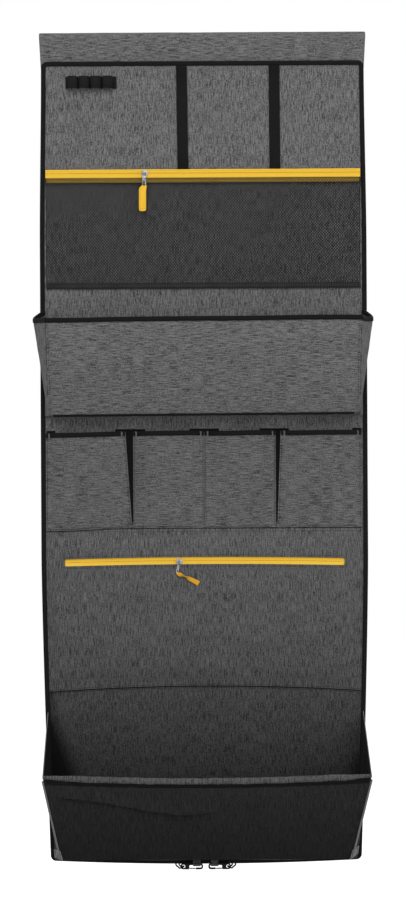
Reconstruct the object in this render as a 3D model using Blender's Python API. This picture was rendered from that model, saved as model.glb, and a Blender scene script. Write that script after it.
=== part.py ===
# Hanging tent organizer: a stiffened fabric panel under a pole sleeve, with pockets, two zips,
# a deep bin and two snap hooks under its foot.
# Metres, +Z up. The panel faces -Y. The origin is on the axis of the pole sleeve, at its middle.

import math

import bmesh
import bpy
from mathutils import Vector

# Clearances and walls
GAP = 0.0003
SEAM = 0.0006
MERGE = 0.00001
CLOTH = 0.0012
BOARD = 0.0020
THIN = 0.0006
WEBBING = 0.0012
BINDING_WALL = 0.0008

# Width of the bound panel, which everything across it follows by its own margin
PANEL_WIDTH = 0.4500

# Pole sleeve
SLEEVE_DEPTH = 0.018
SLEEVE_WALL = 0.0010
SLEEVE_TOP = 0.0220
SLEEVE_FOOT = -0.0470
SLEEVE_SIDE = 0.0010
SLEEVE_WIDTH = PANEL_WIDTH - 2 * SLEEVE_SIDE
TUNNEL_FOOT = -0.0200
CLOSURE_TAPE = 0.0012
CLOSURE_HEIGHT = 0.0180
FLAP_LENGTH_SPARE = 0.0010

# Panel outline
PANEL_TOP = -0.0196
PANEL_FOOT = -1.1203
FOOT_BOW = 0.0049
TOP_WIDTH_LOSS = 0.0040
FOOT_WIDTH_LOSS = 0.0260
WIDEN_LENGTH = 0.1500
TAPER_START = -0.7000
TOP_RADIUS = 0.0120
FOOT_RADIUS = 0.0100
BINDING_WIDTH = 0.0065
LINING_TOP = -0.0500

# Seams across the panel, hidden under the pockets, and the curved one over the bin
UPPER_SEAM = -0.4400
MIDDLE_SEAM = -0.6670
CURVED_SEAM = -0.8805
CURVED_SEAM_DROP = 0.0080

# Webbing straps and elastic loops
STRAP_WIDTH = 0.0150
STRAP_LEFT_X = -0.0280
STRAP_RIGHT_X = 0.0990
LOOPS_SIDE = 0.0365
LOOPS_LEFT_X = LOOPS_SIDE - PANEL_WIDTH / 2
LOOPS_Z = -0.0490
LOOP_COUNT = 4
LOOP_PITCH = 0.0162
LOOP_RISE = 0.0080
LOOP_LAND = 0.0022
LOOP_TAIL = 0.0055
ELASTIC_WIDTH = 0.0170
ELASTIC = 0.0010

# Zips: each is a pair of tapes over a coil, with a slider that grips both
TAPE = 0.0008
COIL = 0.0010
COIL_WIDTH = 0.0050
ZIP_SLOT = 0.0011
SLIDER_WIDTH = 0.0083
SLIDER_HEIGHT = 0.0076
SLIDER_PLATE = 0.0014
SLIDER_FOOT = 0.0008
SLIDER_NECK = 0.0005
BAIL_WIDTH = 0.0016
BAIL_WIRE = 0.0010
BAIL_RISE = 0.0030
PULL = 0.0012
PULL_WIDTH = 0.0054
PULL_LENGTH = 0.0165
EYE_WIDTH = 0.0026
EYE_HEIGHT = 0.0022
TAB = 0.0016

TOP_ZIP_Z = -0.1743
TOP_ZIP_SIDE = 0.0085
TOP_ZIP_LENGTH = PANEL_WIDTH - 2 * TOP_ZIP_SIDE
TOP_ZIP_BAND = 0.0106
TOP_ZIP_LOWER_HIDDEN = 0.0060
TOP_SLIDER_X = -0.0800
TOP_TAB_LENGTH = 0.0360
TOP_TAB_WIDTH = 0.0115

WINDOW_ZIP_Z = -0.7088
WINDOW_SIDE = 0.0320
WINDOW_LENGTH = PANEL_WIDTH - 2 * WINDOW_SIDE
WINDOW_HEIGHT = 0.0105
WINDOW_TAPE_MARGIN = 0.0050
WINDOW_SLIDER_X = -0.0350
WINDOW_TAB_REACH = 0.0290
WINDOW_TAB_DROP = 0.0130
WINDOW_TAB_WIDTH = 0.0055

# Mesh pocket under the top zip
MESH = 0.0006
MESH_TOP = -0.1810
MESH_FOOT = -0.3330
MESH_HEM_HEIGHT = 0.0085
MESH_BELLY = 0.0052
MESH_SIDE_RUN = 0.0300

# Zipped pocket behind the lower panel
BAG_TOP = -0.6900
BAG_FOOT = -0.8700
BAG_SIDE = 0.0170
BAG_WIDTH = WINDOW_LENGTH + 2 * BAG_SIDE
ZIP_POCKET_BELLY = 0.0078
ZIP_POCKET_RAMP = 0.0300

# Shelf pocket
SHELF_SIDE = 0.0125
SHELF_WIDTH = PANEL_WIDTH - 2 * SHELF_SIDE
SHELF_TOP = -0.3756
SHELF_FOOT = -0.5080
SHELF_BACK_TOP = -0.3616
SHELF_DEPTH = 0.0570
SHELF_FLOOR_DEPTH = 0.0200
SHELF_BELLY = 0.0030
SHELF_CORNER = 0.0040
SHELF_FOLD_OUT = 0.0200
SHELF_FOLD_OUT_FOOT = 0.0055
TOP_BINDING = 0.0080

# Row of four pockets
POCKET_TOP = -0.5300
POCKET_FOOT = -0.6650
POCKET_SIDE_LEFT = 0.0070
POCKET_SIDE_RIGHT = 0.0087
POCKET_ROW_LEFT = POCKET_SIDE_LEFT - PANEL_WIDTH / 2
POCKET_ROW_RIGHT = PANEL_WIDTH / 2 - POCKET_SIDE_RIGHT
POCKET_SEAM_LEFT = -0.0985
POCKET_SEAM_RIGHT = 0.0990
PLEAT_LEFT_WIDTH = 0.0097
PLEAT_RIGHT_WIDTH = 0.0060
OUTER_POCKET_DEPTH = 0.0150
INNER_POCKET_DEPTH = 0.0110
PLEAT_DEPTH = 0.0070
PLEAT_REACH_RATIO = 0.85

# Bin at the foot
BIN_DEPTH = 0.1000
BIN_FLOOR_DEPTH = 0.0765
BIN_BACK_TOP = -0.9160
BIN_FRONT_TOP = -0.9885
BIN_FRONT_FOOT = -1.1030
BIN_BACK_FOOT = -1.1185
BIN_SIDE_TOP = 0.0070
BIN_SIDE_FOOT = 0.0305
BIN_BACK_SIDE_TOP = 0.0080
BIN_BACK_SIDE_FOOT = 0.0165
BIN_TOP_WIDTH = PANEL_WIDTH - 2 * BIN_SIDE_TOP
BIN_FOOT_WIDTH = PANEL_WIDTH - 2 * BIN_SIDE_FOOT
BIN_BACK_WIDTH = PANEL_WIDTH - 2 * BIN_BACK_SIDE_TOP
BIN_BACK_FOOT_WIDTH = PANEL_WIDTH - 2 * BIN_BACK_SIDE_FOOT
BIN_DROOP = 0.0060
BIN_BELLY = 0.0050
HEM_HEIGHT = 0.0075
HEM_ROLL = 0.0046
PIPING_RADIUS = 0.0013
GUSSET_BELLY = 0.0040

# Snap hooks, their parking tabs and cords
HOOK_LENGTH = 0.0312
HOOK_HEIGHT = 0.0081
HOOK_WIRE = 0.0023
HOOK_INNER_X = -0.0044
EYE_HOLE = 0.0040
OVAL_LENGTH = 0.0168
GATE_LENGTH = 0.0083
GATE_INSET = 0.0105
TAB_WIDTH = 0.0105
TAB_RIBBON = 0.0009
TAB_SEWN = 0.0050
HOOK_RIGHT_SHIFT = 0.0018
CORD_RADIUS = 0.0011

# Levels across the thickness of the panel, worked out from the sleeve forwards
SLEEVE_FRONT_Y = -SLEEVE_DEPTH / 2 - SLEEVE_WALL
BOARD_BACK_Y = SLEEVE_FRONT_Y - GAP - BINDING_WALL - GAP
BOARD_FRONT_Y = BOARD_BACK_Y - BOARD
FACE_Y = BOARD_FRONT_Y - GAP - CLOTH
BINDING_OUT = GAP + BINDING_WALL
ON_BINDING = BINDING_OUT + GAP
PANEL_INSET = BINDING_WALL + GAP


def level(depth):
    """Y of a plane that lies this far in front of the panel's face."""
    return FACE_Y - depth


def ease(value):
    """Smooth step from 0 to 1."""
    value = min(max(value, 0.0), 1.0)
    return value * value * (3 - 2 * value)


def plateau(value, power=4):
    """1 in the middle of 0..1, falling to 0 at both ends."""
    return 1 - abs(2 * value - 1) ** power


def steps(count):
    """count + 1 even values from 0 to 1."""
    return [n / count for n in range(count + 1)]


def clear_scene():
    """Removes everything that a new file holds."""
    for obj in list(bpy.data.objects):
        bpy.data.objects.remove(obj, do_unlink=True)


def material(name, colour, roughness, metallic=0.0):
    """A Principled material of one plain colour."""
    made = bpy.data.materials.new(name)
    made.use_nodes = True
    shader = made.node_tree.nodes["Principled BSDF"]
    shader.inputs["Base Color"].default_value = (*colour, 1)
    shader.inputs["Roughness"].default_value = roughness
    shader.inputs["Metallic"].default_value = metallic
    made.diffuse_color = (*colour, 1)
    return made


def pivot(name, place, parent=None):
    """An empty on a joint's axis, which carries the pieces that move about it."""
    empty = bpy.data.objects.new(name, None)
    bpy.context.collection.objects.link(empty)
    empty.empty_display_size = 0.01
    empty.parent = parent
    above = world_place(parent)
    empty.location = Vector(place) - above
    return empty


def world_place(empty):
    """Where an empty stands, through its parents."""
    place = Vector((0, 0, 0))
    while empty is not None:
        place += empty.location
        empty = empty.parent
    return place


def piece(name, bm, finish, carrier, smooth=False):
    """Turns a bmesh in world metres into a named object whose origin is its carrier's."""
    bmesh.ops.remove_doubles(bm, verts=bm.verts, dist=MERGE)
    bmesh.ops.recalc_face_normals(bm, faces=bm.faces)
    bmesh.ops.translate(bm, verts=bm.verts, vec=-world_place(carrier))
    mesh = bpy.data.meshes.new(name)
    bm.to_mesh(mesh)
    bm.free()
    mesh.materials.append(finish)
    if smooth:
        mesh.shade_smooth()
        mesh.set_sharp_from_angle(angle=math.radians(40))
    obj = bpy.data.objects.new(name, mesh)
    bpy.context.collection.objects.link(obj)
    obj.parent = carrier
    return obj


def cloth(name, point, across, down, wall, finish, carrier, flip=False):
    """A sheet of cloth: its outer surface is point(u, v), and its wall goes inwards."""
    bm = bmesh.new()
    rows = [[bm.verts.new(point(u, v)) for u in across] for v in down]
    for upper, lower in zip(rows, rows[1:]):
        for n in range(len(across) - 1):
            corners = [upper[n], lower[n], lower[n + 1], upper[n + 1]]
            bm.faces.new(corners[::-1] if flip else corners)
    bmesh.ops.translate(bm, verts=bm.verts, vec=-world_place(carrier))
    mesh = bpy.data.meshes.new(name)
    bm.to_mesh(mesh)
    bm.free()
    mesh.materials.append(finish)
    mesh.shade_smooth()
    mesh.set_sharp_from_angle(angle=math.radians(50))
    obj = bpy.data.objects.new(name, mesh)
    bpy.context.collection.objects.link(obj)
    obj.parent = carrier
    solidify = obj.modifiers.new("wall", "SOLIDIFY")
    solidify.thickness = wall
    solidify.offset = -1
    solidify.use_even_offset = True
    solidify.use_quality_normals = True
    return obj


def plate(name, outline, near, far, finish, carrier, smooth=False):
    """A flat plate: an outline of (x, z) points between two Y levels."""
    bm = bmesh.new()
    face = bm.faces.new([bm.verts.new((x, near, z)) for x, z in outline])
    moved = bmesh.ops.extrude_face_region(bm, geom=[face])["geom"]
    verts = [v for v in moved if isinstance(v, bmesh.types.BMVert)]
    bmesh.ops.translate(bm, verts=verts, vec=(0, far - near, 0))
    return piece(name, bm, finish, carrier, smooth)


def bar(name, section, left, right, finish, carrier, smooth=False):
    """A section of (y, z) points carried along X from left to right."""
    bm = bmesh.new()
    face = bm.faces.new([bm.verts.new((left, y, z)) for y, z in section])
    moved = bmesh.ops.extrude_face_region(bm, geom=[face])["geom"]
    verts = [v for v in moved if isinstance(v, bmesh.types.BMVert)]
    bmesh.ops.translate(bm, verts=verts, vec=(right - left, 0, 0))
    return piece(name, bm, finish, carrier, smooth)


def hoop(name, outer, inner, near, far, axis, finish, carrier, smooth=False):
    """A flat ring between two outlines with as many points, carried from near to far along an axis."""
    def place(pair, at):
        return (pair[0], at, pair[1]) if axis == "Y" else (at, pair[0], pair[1])

    bm = bmesh.new()
    loops = [[bm.verts.new(place(p, at)) for p in line] for line in (outer, inner) for at in (near, far)]
    for one, two in ((0, 1), (2, 3), (0, 2), (1, 3)):
        ring, other = loops[one], loops[two]
        for n in range(len(ring)):
            m = (n + 1) % len(ring)
            bm.faces.new([ring[n], ring[m], other[m], other[n]])
    return piece(name, bm, finish, carrier, smooth)


def sweep(name, rings, finish, carrier, closed=False, smooth=False):
    """A skin over rings that have as many points, with flat ends unless it closes on itself."""
    bm = bmesh.new()
    loops = [[bm.verts.new(p) for p in ring] for ring in rings]
    pairs = list(zip(loops, loops[1:]))
    if closed:
        pairs.append((loops[-1], loops[0]))
    else:
        bm.faces.new(loops[0])
        bm.faces.new(loops[-1])
    for ring, other in pairs:
        for n in range(len(ring)):
            m = (n + 1) % len(ring)
            bm.faces.new([ring[n], ring[m], other[m], other[n]])
    return piece(name, bm, finish, carrier, smooth)


def combine(base, tools, operation):
    """Cuts tools from a piece or joins them to it, and removes them."""
    for tool in tools:
        step = base.modifiers.new("step", "BOOLEAN")
        step.object = tool
        step.operation = operation
        step.solver = "EXACT"
    bpy.context.view_layer.update()
    shape = base.evaluated_get(bpy.context.evaluated_depsgraph_get())
    mesh = bpy.data.meshes.new_from_object(shape)
    base.modifiers.clear()
    base.data = mesh
    for tool in tools:
        bpy.data.objects.remove(tool, do_unlink=True)
    return base


def slot_outline(centre_x, centre_z, length, height, sides=6):
    """A slot with half-round ends, as (x, z) points."""
    radius = height / 2
    reach = length / 2 - radius
    points = []
    for middle, start in ((reach, -90), (-reach, 90)):
        for n in range(sides + 1):
            turn = math.radians(start + 180 * n / sides)
            points.append((centre_x + middle + radius * math.cos(turn), centre_z + radius * math.sin(turn)))
    return points


def rounded_outline(left, right, foot, top, radius, sides=3):
    """A rectangle with round corners, as (x, z) points."""
    points = []
    for x, z, start in ((right - radius, top - radius, 0), (left + radius, top - radius, 90),
                        (left + radius, foot + radius, 180), (right - radius, foot + radius, 270)):
        for n in range(sides + 1):
            turn = math.radians(start + 90 * n / sides)
            points.append((x + radius * math.cos(turn), z + radius * math.sin(turn)))
    return points


def octagon():
    """The corners of an octagon whose flats lie at a distance of 1."""
    turns = [math.radians(22.5 + 45 * n) for n in range(8)]
    return [(math.cos(turn) / math.cos(turns[0]), math.sin(turn) / math.cos(turns[0])) for turn in turns]


def half_width(z):
    """Half the panel's width at a height: a little less at the top, and drawn in towards the foot."""
    widen = TOP_WIDTH_LOSS / 2 * (1 - ease((PANEL_TOP - z) / WIDEN_LENGTH))
    taper = (TAPER_START - z) / (TAPER_START - PANEL_FOOT)
    return PANEL_WIDTH / 2 - widen - FOOT_WIDTH_LOSS / 2 * max(taper, 0.0) ** 2


def foot_z(x):
    """The panel's foot, which bows down between its round corners."""
    reach = half_width(PANEL_FOOT) - FOOT_RADIUS
    return PANEL_FOOT - FOOT_BOW * max(1 - (x / reach) ** 2, 0.0)


def curved_seam_z(x):
    """The seam over the bin, which drops towards both sides."""
    return CURVED_SEAM - CURVED_SEAM_DROP * (x / (PANEL_WIDTH / 2)) ** 2


def mirrored(right_side):
    """A closed outline from its right half, given from top to foot."""
    return right_side + [(-x, z) for x, z in reversed(right_side)]


def side_run(top, foot, inset):
    """The panel's right side between two heights, drawn in by inset."""
    widen = [PANEL_TOP - WIDEN_LENGTH * s for s in (0.33, 0.67, 1.0)]
    taper = [TAPER_START + (PANEL_FOOT - TAPER_START) * s for s in steps(6)]
    between = [z for z in widen + taper if foot + 0.006 < z < top - 0.006]
    return [(half_width(z) - inset, z) for z in [top] + between + [foot]]


def top_corner(inset):
    """The round corner at the panel's top right, drawn in by inset."""
    radius = TOP_RADIUS - inset
    middle = half_width(PANEL_TOP - TOP_RADIUS) - TOP_RADIUS
    turns = [math.radians(90 - 18 * n) for n in range(6)]
    return [(middle + radius * math.cos(t), PANEL_TOP - TOP_RADIUS + radius * math.sin(t)) for t in turns]


def foot_corner(inset):
    """The round corner at the panel's foot, drawn in by inset."""
    radius = FOOT_RADIUS - inset
    middle = half_width(PANEL_FOOT + FOOT_RADIUS) - FOOT_RADIUS
    turns = [math.radians(-22.5 * n) for n in range(5)]
    return [(middle + radius * math.cos(t), PANEL_FOOT + FOOT_RADIUS + radius * math.sin(t)) for t in turns]


def foot_run(inset):
    """The right half of the bowed foot, from its corner to just short of the middle."""
    reach = half_width(PANEL_FOOT) - FOOT_RADIUS
    return [(reach * (1 - s), foot_z(reach * (1 - s)) + inset) for s in steps(6)[1:-1]]


def whole_outline(inset):
    """The whole panel's outline, drawn in by inset."""
    side = side_run(PANEL_TOP - TOP_RADIUS, PANEL_FOOT + FOOT_RADIUS, inset)[1:-1]
    right = top_corner(inset) + side + foot_corner(inset) + foot_run(inset)
    return right + [(0.0, foot_z(0) + inset)] + [(-x, z) for x, z in reversed(right)]


def build_panel(inks, root):
    """The stiff board, its back lining and the four face cloths that are seamed across it."""
    plate("backing_board", whole_outline(PANEL_INSET), BOARD_BACK_Y, BOARD_FRONT_Y, inks["board"], root)

    inset = BINDING_WIDTH + SEAM
    side = side_run(LINING_TOP, PANEL_FOOT + FOOT_RADIUS, inset)[:-1]
    lining = side + foot_corner(inset) + foot_run(inset)
    outline = lining + [(0.0, foot_z(0) + inset)] + [(-x, z) for x, z in reversed(lining)]
    back = BOARD_BACK_Y + GAP
    plate("back_lining", outline, back, back + CLOTH, inks["lining"], root)

    near, far = level(-CLOTH), level(0)
    inset = PANEL_INSET
    side = side_run(PANEL_TOP - TOP_RADIUS, UPPER_SEAM, inset)[1:]
    plate("upper_panel", mirrored(top_corner(inset) + side), near, far, inks["panel"], root)

    side = side_run(UPPER_SEAM - SEAM, MIDDLE_SEAM, inset)
    plate("middle_panel", mirrored(side), near, far, inks["panel"], root)

    side = side_run(curved_seam_z(half_width(CURVED_SEAM)) - SEAM, PANEL_FOOT + FOOT_RADIUS, inset)[:-1]
    right = side + foot_corner(inset) + foot_run(inset)
    seam = [(side[0][0] * s, curved_seam_z(side[0][0] * s) - SEAM) for s in steps(6)[1:-1]]
    right = [(0.0, CURVED_SEAM - SEAM)] + seam + right
    outline = right + [(0.0, foot_z(0) + inset)] + [(-x, z) for x, z in reversed(right[1:])]
    plate("bottom_panel", outline, near, far, inks["dark_panel"], root)


def build_edge_binding(inks, root):
    """A folded tape round the panel's whole edge: two legs and the web between them."""
    front = level(0) - GAP
    back = BOARD_BACK_Y + GAP
    corners = ((0.0, front - BINDING_WALL), (BINDING_WIDTH, front - BINDING_WALL), (BINDING_WIDTH, front),
               (BINDING_WALL, front), (BINDING_WALL, back), (BINDING_WIDTH, back),
               (BINDING_WIDTH, back + BINDING_WALL), (0.0, back + BINDING_WALL))
    lines = [[(x, y, z) for x, z in whole_outline(inset)] for inset, y in corners]
    sweep("edge_binding", [list(ring) for ring in zip(*lines)], inks["binding"], root, closed=True)


def sleeve_section(line, wall, crown):
    """A strip of cloth of this wall, as a closed (y, z) outline round its outer line with a square crown."""
    inner = []
    for n, (y, z) in enumerate(line):
        before = line[max(n - 1, 0)]
        after = line[min(n + 1, len(line) - 1)]
        run = Vector((after[0] - before[0], after[1] - before[1])).normalized()
        inner.append((y + run[1] * wall, z - run[0] * wall))
    inner[crown] = (line[crown][0], line[crown][1] - wall)
    return line + inner[::-1]


def build_sleeve(inks, root):
    """The pole sleeve behind the panel's top: a front wall, and a flap that closes it from behind."""
    half = SLEEVE_WIDTH / 2
    radius = SLEEVE_DEPTH / 2 + SLEEVE_WALL
    spring = SLEEVE_TOP - radius
    arc = [math.radians(180 - 18 * n) for n in range(6)]
    front = [(-radius, SLEEVE_FOOT)] + [(radius * math.cos(t), spring + radius * math.sin(t)) for t in arc]
    front[-1] = (-GAP / 2, SLEEVE_TOP)
    bar("sleeve_front", sleeve_section(front, SLEEVE_WALL, -1), -half, half, inks["sleeve"], root, smooth=True)

    tape_front = SLEEVE_FRONT_Y + SLEEVE_WALL + GAP
    tape_foot = SLEEVE_FOOT + FLAP_LENGTH_SPARE
    tape_top = tape_foot + CLOSURE_HEIGHT
    tape_half = half - BINDING_WIDTH
    bar("sleeve_loop_tape", [(tape_front, tape_foot), (tape_front + CLOSURE_TAPE, tape_foot),
                             (tape_front + CLOSURE_TAPE, tape_top), (tape_front, tape_top)],
        -tape_half, tape_half, inks["tape"], root)

    hinge = pivot("sleeve_flap_hinge", (0, 0, SLEEVE_TOP), root)
    hook_front = tape_front + CLOSURE_TAPE + GAP
    bar("sleeve_hook_tape", [(hook_front, tape_foot), (hook_front + CLOSURE_TAPE, tape_foot),
                             (hook_front + CLOSURE_TAPE, tape_top), (hook_front, tape_top)],
        -tape_half, tape_half, inks["tape"], hinge)

    flap_back = hook_front + CLOSURE_TAPE + GAP + SLEEVE_WALL
    arc = [math.radians(90 - 18 * n) for n in range(6)]
    back = [(radius * math.cos(t), spring + radius * math.sin(t)) for t in arc]
    back[0] = (GAP / 2, SLEEVE_TOP)
    fall = [(flap_back + (radius - flap_back) * (1 - ease(s)), TUNNEL_FOOT * s) for s in steps(4)[1:]]
    back += fall + [(flap_back, SLEEVE_FOOT)]
    bar("sleeve_flap", sleeve_section(back, SLEEVE_WALL, 0), -half, half, inks["sleeve"], hinge, smooth=True)


def build_straps(inks, root):
    """Two webbing straps from the top binding down to the zip."""
    top = PANEL_TOP - BINDING_WIDTH - GAP
    foot = TOP_ZIP_Z + TOP_ZIP_BAND / 2 + GAP
    for name, middle in (("strap_left", STRAP_LEFT_X), ("strap_right", STRAP_RIGHT_X)):
        left, right = middle - STRAP_WIDTH / 2, middle + STRAP_WIDTH / 2
        outline = [(right, top), (left, top), (left, foot), (right, foot)]
        plate(name, outline, level(GAP), level(GAP + WEBBING), inks["webbing"], root)


def build_elastic_loops(inks, root):
    """One strip of elastic, sewn down between its loops."""
    line = [(LOOPS_LEFT_X, GAP)]
    for n in range(LOOP_COUNT):
        start = LOOPS_LEFT_X + LOOP_LAND + n * LOOP_PITCH
        span = LOOP_PITCH - LOOP_LAND
        line += [(start + span * (0.5 - 0.5 * math.cos(math.pi * s)), GAP + LOOP_RISE * math.sin(math.pi * s))
                 for s in steps(8)]
    line.append((LOOPS_LEFT_X + LOOP_COUNT * LOOP_PITCH + LOOP_TAIL, GAP))
    high, low = LOOPS_Z + ELASTIC_WIDTH / 2, LOOPS_Z - ELASTIC_WIDTH / 2
    outer = []
    for n, (x, depth) in enumerate(line):
        before, after = line[max(n - 1, 0)], line[min(n + 1, len(line) - 1)]
        run = Vector((after[0] - before[0], after[1] - before[1])).normalized()
        outer.append((x - run[1] * ELASTIC, depth + run[0] * ELASTIC))
    rings = [[(x, level(depth), z) for x, depth in line + outer[::-1]] for z in (high, low)]
    sweep("elastic_loops", rings, inks["webbing"], root)


def zip_levels(base):
    """Depths of the layers of a zip that lies on a surface of this depth: near and far of each."""
    foot = base + GAP
    coil = foot + SLIDER_FOOT + GAP
    tape = coil + COIL + GAP
    plate_near = tape + TAPE + GAP
    plate_far = plate_near + SLIDER_PLATE
    return {"foot": (foot, foot + SLIDER_FOOT), "coil": (coil, coil + COIL), "tape": (tape, tape + TAPE),
            "plate": (plate_near, plate_far), "pivot": plate_far + BAIL_RISE * 0.6,
            "bail": plate_far + BAIL_RISE}


def zip_coil(name, middle_z, length, levels, ink, carrier):
    """The two rows of a zip's coil, joined at its end stops."""
    near, far = levels["coil"]
    outer = [(length / 2, COIL_WIDTH / 2), (-length / 2, COIL_WIDTH / 2),
             (-length / 2, -COIL_WIDTH / 2), (length / 2, -COIL_WIDTH / 2)]
    stop = COIL_WIDTH
    inner = [(length / 2 - stop, ZIP_SLOT / 2), (-length / 2 + stop, ZIP_SLOT / 2),
             (-length / 2 + stop, -ZIP_SLOT / 2), (length / 2 - stop, -ZIP_SLOT / 2)]
    outer, inner = ([(x, middle_z + z) for x, z in line] for line in (outer, inner))
    hoop(name, outer, inner, level(near), level(far), "Y", ink, carrier)


def zip_slider(name, x, z, levels, ink, carrier):
    """A slider: front plate and foot plate joined by a neck, with a bail that holds the pull."""
    half_x, half_z, chamfer = SLIDER_WIDTH / 2, SLIDER_HEIGHT / 2, SLIDER_HEIGHT / 4
    shield = [(half_x, half_z - chamfer), (half_x - chamfer, half_z), (-half_x + chamfer, half_z),
              (-half_x, half_z - chamfer), (-half_x, -half_z + chamfer), (-half_x + chamfer, -half_z),
              (half_x - chamfer, -half_z), (half_x, -half_z + chamfer)]
    shield = [(x + px, z + pz) for px, pz in shield]
    near, far = levels["plate"]
    body = plate(name, shield, level(near), level(far), ink, carrier)
    near, far = levels["foot"]
    foot = plate("foot", shield, level(near), level(far), ink, carrier)
    neck_half = SLIDER_WIDTH / 4
    sunk = SLIDER_FOOT / 4
    neck = plate("neck", [(x + neck_half, z + SLIDER_NECK / 2), (x - neck_half, z + SLIDER_NECK / 2),
                          (x - neck_half, z - SLIDER_NECK / 2), (x + neck_half, z - SLIDER_NECK / 2)],
                 level(far - sunk), level(levels["plate"][0] + sunk), ink, carrier)
    top = levels["bail"]
    base = levels["plate"][1] - sunk
    reach = half_z - BAIL_WIRE / 2
    arch = [(base, reach), (top, reach), (top + BAIL_WIRE, reach - BAIL_WIRE),
            (top + BAIL_WIRE, -reach + BAIL_WIRE), (top, -reach), (base, -reach),
            (base, -reach + BAIL_WIRE), (top, -reach + BAIL_WIRE), (top, reach - BAIL_WIRE),
            (base, reach - BAIL_WIRE)]
    bail = bar("bail", [(level(depth), z + pz) for depth, pz in arch],
               x - BAIL_WIDTH / 2, x + BAIL_WIDTH / 2, ink, carrier)
    return combine(body, [foot, neck, bail], "UNION")


def zip_pull(name, x, z, levels, ink, carrier):
    """A metal pull that hangs on the bail: a window round the bail at the top, an eye at the foot."""
    near, far = levels["pivot"] - PULL / 2, levels["pivot"] + PULL / 2
    bar_half = PULL / 2
    outline = rounded_outline(x - PULL_WIDTH / 2, x + PULL_WIDTH / 2, z - PULL_LENGTH, z + bar_half, PULL / 2)
    body = plate(name, outline, level(near), level(far), ink, carrier)
    window_half = BAIL_WIDTH / 2 + GAP
    window_foot = -(SLIDER_HEIGHT / 2 + BAIL_WIRE)
    cut_near, cut_far = level(near - PULL), level(far + PULL)
    window = plate("window", [(x + window_half, z - bar_half), (x - window_half, z - bar_half),
                              (x - window_half, z + window_foot), (x + window_half, z + window_foot)],
                   cut_near, cut_far, ink, carrier)
    eye_top = z - PULL_LENGTH + PULL + EYE_HEIGHT
    eye = plate("eye", [(x + EYE_WIDTH / 2, eye_top), (x - EYE_WIDTH / 2, eye_top),
                        (x - EYE_WIDTH / 2, eye_top - EYE_HEIGHT), (x + EYE_WIDTH / 2, eye_top - EYE_HEIGHT)],
                cut_near, cut_far, ink, carrier)
    return combine(body, [window, eye], "DIFFERENCE")


def zip_tab(name, x, z, levels, outline, ink, carrier):
    """A cloth tab looped through the pull's eye round the bar below it. Its z is the bar's middle."""
    middle = levels["pivot"]
    clear = PULL / 2 + GAP
    strand = TAB / 2
    reach = clear + strand
    top = [(reach * y, reach * z) for y, z in octagon() if z > 0]
    outer = top + [(-reach, -clear - TAB), (reach, -clear - TAB)]
    inner = [(clear * y, clear * z) for y, z in octagon() if z > 0] + [(-clear, -clear), (clear, -clear)]
    outer, inner = ([(level(middle + depth), z + pz) for depth, pz in line] for line in (outer, inner))
    loop_half = EYE_WIDTH / 2 - GAP
    loop = hoop("loop", outer, inner, x - loop_half, x + loop_half, "X", ink, carrier)
    body = plate(name, outline, level(middle - TAB / 2), level(middle + TAB / 2), ink, carrier)
    return combine(body, [loop], "UNION")


def build_top_zip(inks, root):
    """The zip over the mesh pocket, its slider on a slide along X, its pull and its tab."""
    levels = zip_levels(0.0)
    near, far = levels["tape"]
    half = TOP_ZIP_LENGTH / 2
    lip = ZIP_SLOT / 2
    top = TOP_ZIP_BAND / 2
    riser = SLIDER_HEIGHT / 2 + GAP
    outer = [(GAP + TAPE, top), (GAP + TAPE, riser + TAPE), (far, riser + TAPE), (far, lip)]
    inner = [(near, lip), (near, riser), (GAP, riser), (GAP, top)]
    section = [(level(depth), TOP_ZIP_Z + z) for depth, z in outer + inner]
    bar("top_zip_upper_tape", section, -half, half, inks["zip_tape"], root)
    foot = MESH_TOP - TOP_ZIP_LOWER_HIDDEN
    section = [(level(far), TOP_ZIP_Z - lip), (level(near), TOP_ZIP_Z - lip), (level(near), foot),
               (level(far), foot)]
    mesh_half = half - BINDING_WIDTH / 2
    bar("top_zip_lower_tape", section, -mesh_half, mesh_half, inks["zip_tape"], root)
    zip_coil("top_zip_coil", TOP_ZIP_Z, TOP_ZIP_LENGTH - BINDING_WIDTH, levels, inks["coil"], root)

    ride = pivot("top_zip_slider_ride", (TOP_SLIDER_X, 0, TOP_ZIP_Z), root)
    zip_slider("top_zip_slider", TOP_SLIDER_X, TOP_ZIP_Z, levels, inks["metal"], ride)
    pull_z = TOP_ZIP_Z + BAIL_WIRE / 2
    swing = pivot("top_zip_pull_hinge", (TOP_SLIDER_X, level(levels["pivot"]), pull_z), ride)
    zip_pull("top_zip_pull", TOP_SLIDER_X, pull_z, levels, inks["metal"], swing)
    bar_z = pull_z - PULL_LENGTH + PULL / 2
    fold = pivot("top_zip_tab_hinge", (TOP_SLIDER_X, level(levels["pivot"]), bar_z), swing)
    shoulder = bar_z - PULL / 2 - GAP - TAB / 4
    wide, slim = TOP_TAB_WIDTH / 2, PULL_WIDTH / 2
    taper = shoulder - TOP_TAB_WIDTH / 2
    outline = [(TOP_SLIDER_X + px, pz) for px, pz in
               ((slim, shoulder), (-slim, shoulder), (-wide, taper), (-wide, shoulder - TOP_TAB_LENGTH),
                (wide, shoulder - TOP_TAB_LENGTH), (wide, taper))]
    zip_tab("top_zip_tab", TOP_SLIDER_X, bar_z, levels, outline, inks["zip_tab"], fold)


def window_zip_levels():
    """The layers of the window zip, which lies on the pocket bag behind the lower panel."""
    return zip_levels(bag_depth() + THIN)


def bag_depth():
    """Depth of the back of the zipped pocket's bag."""
    return -CLOTH


def bound_half_width(z):
    """Half the panel's width between the legs of its binding."""
    return half_width(z) - BINDING_WIDTH - GAP


def zip_pocket_flat():
    """Half the width over which the lower panel stands level in front of its zip."""
    return WINDOW_LENGTH / 2 + WINDOW_TAPE_MARGIN + 2 * GAP


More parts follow.
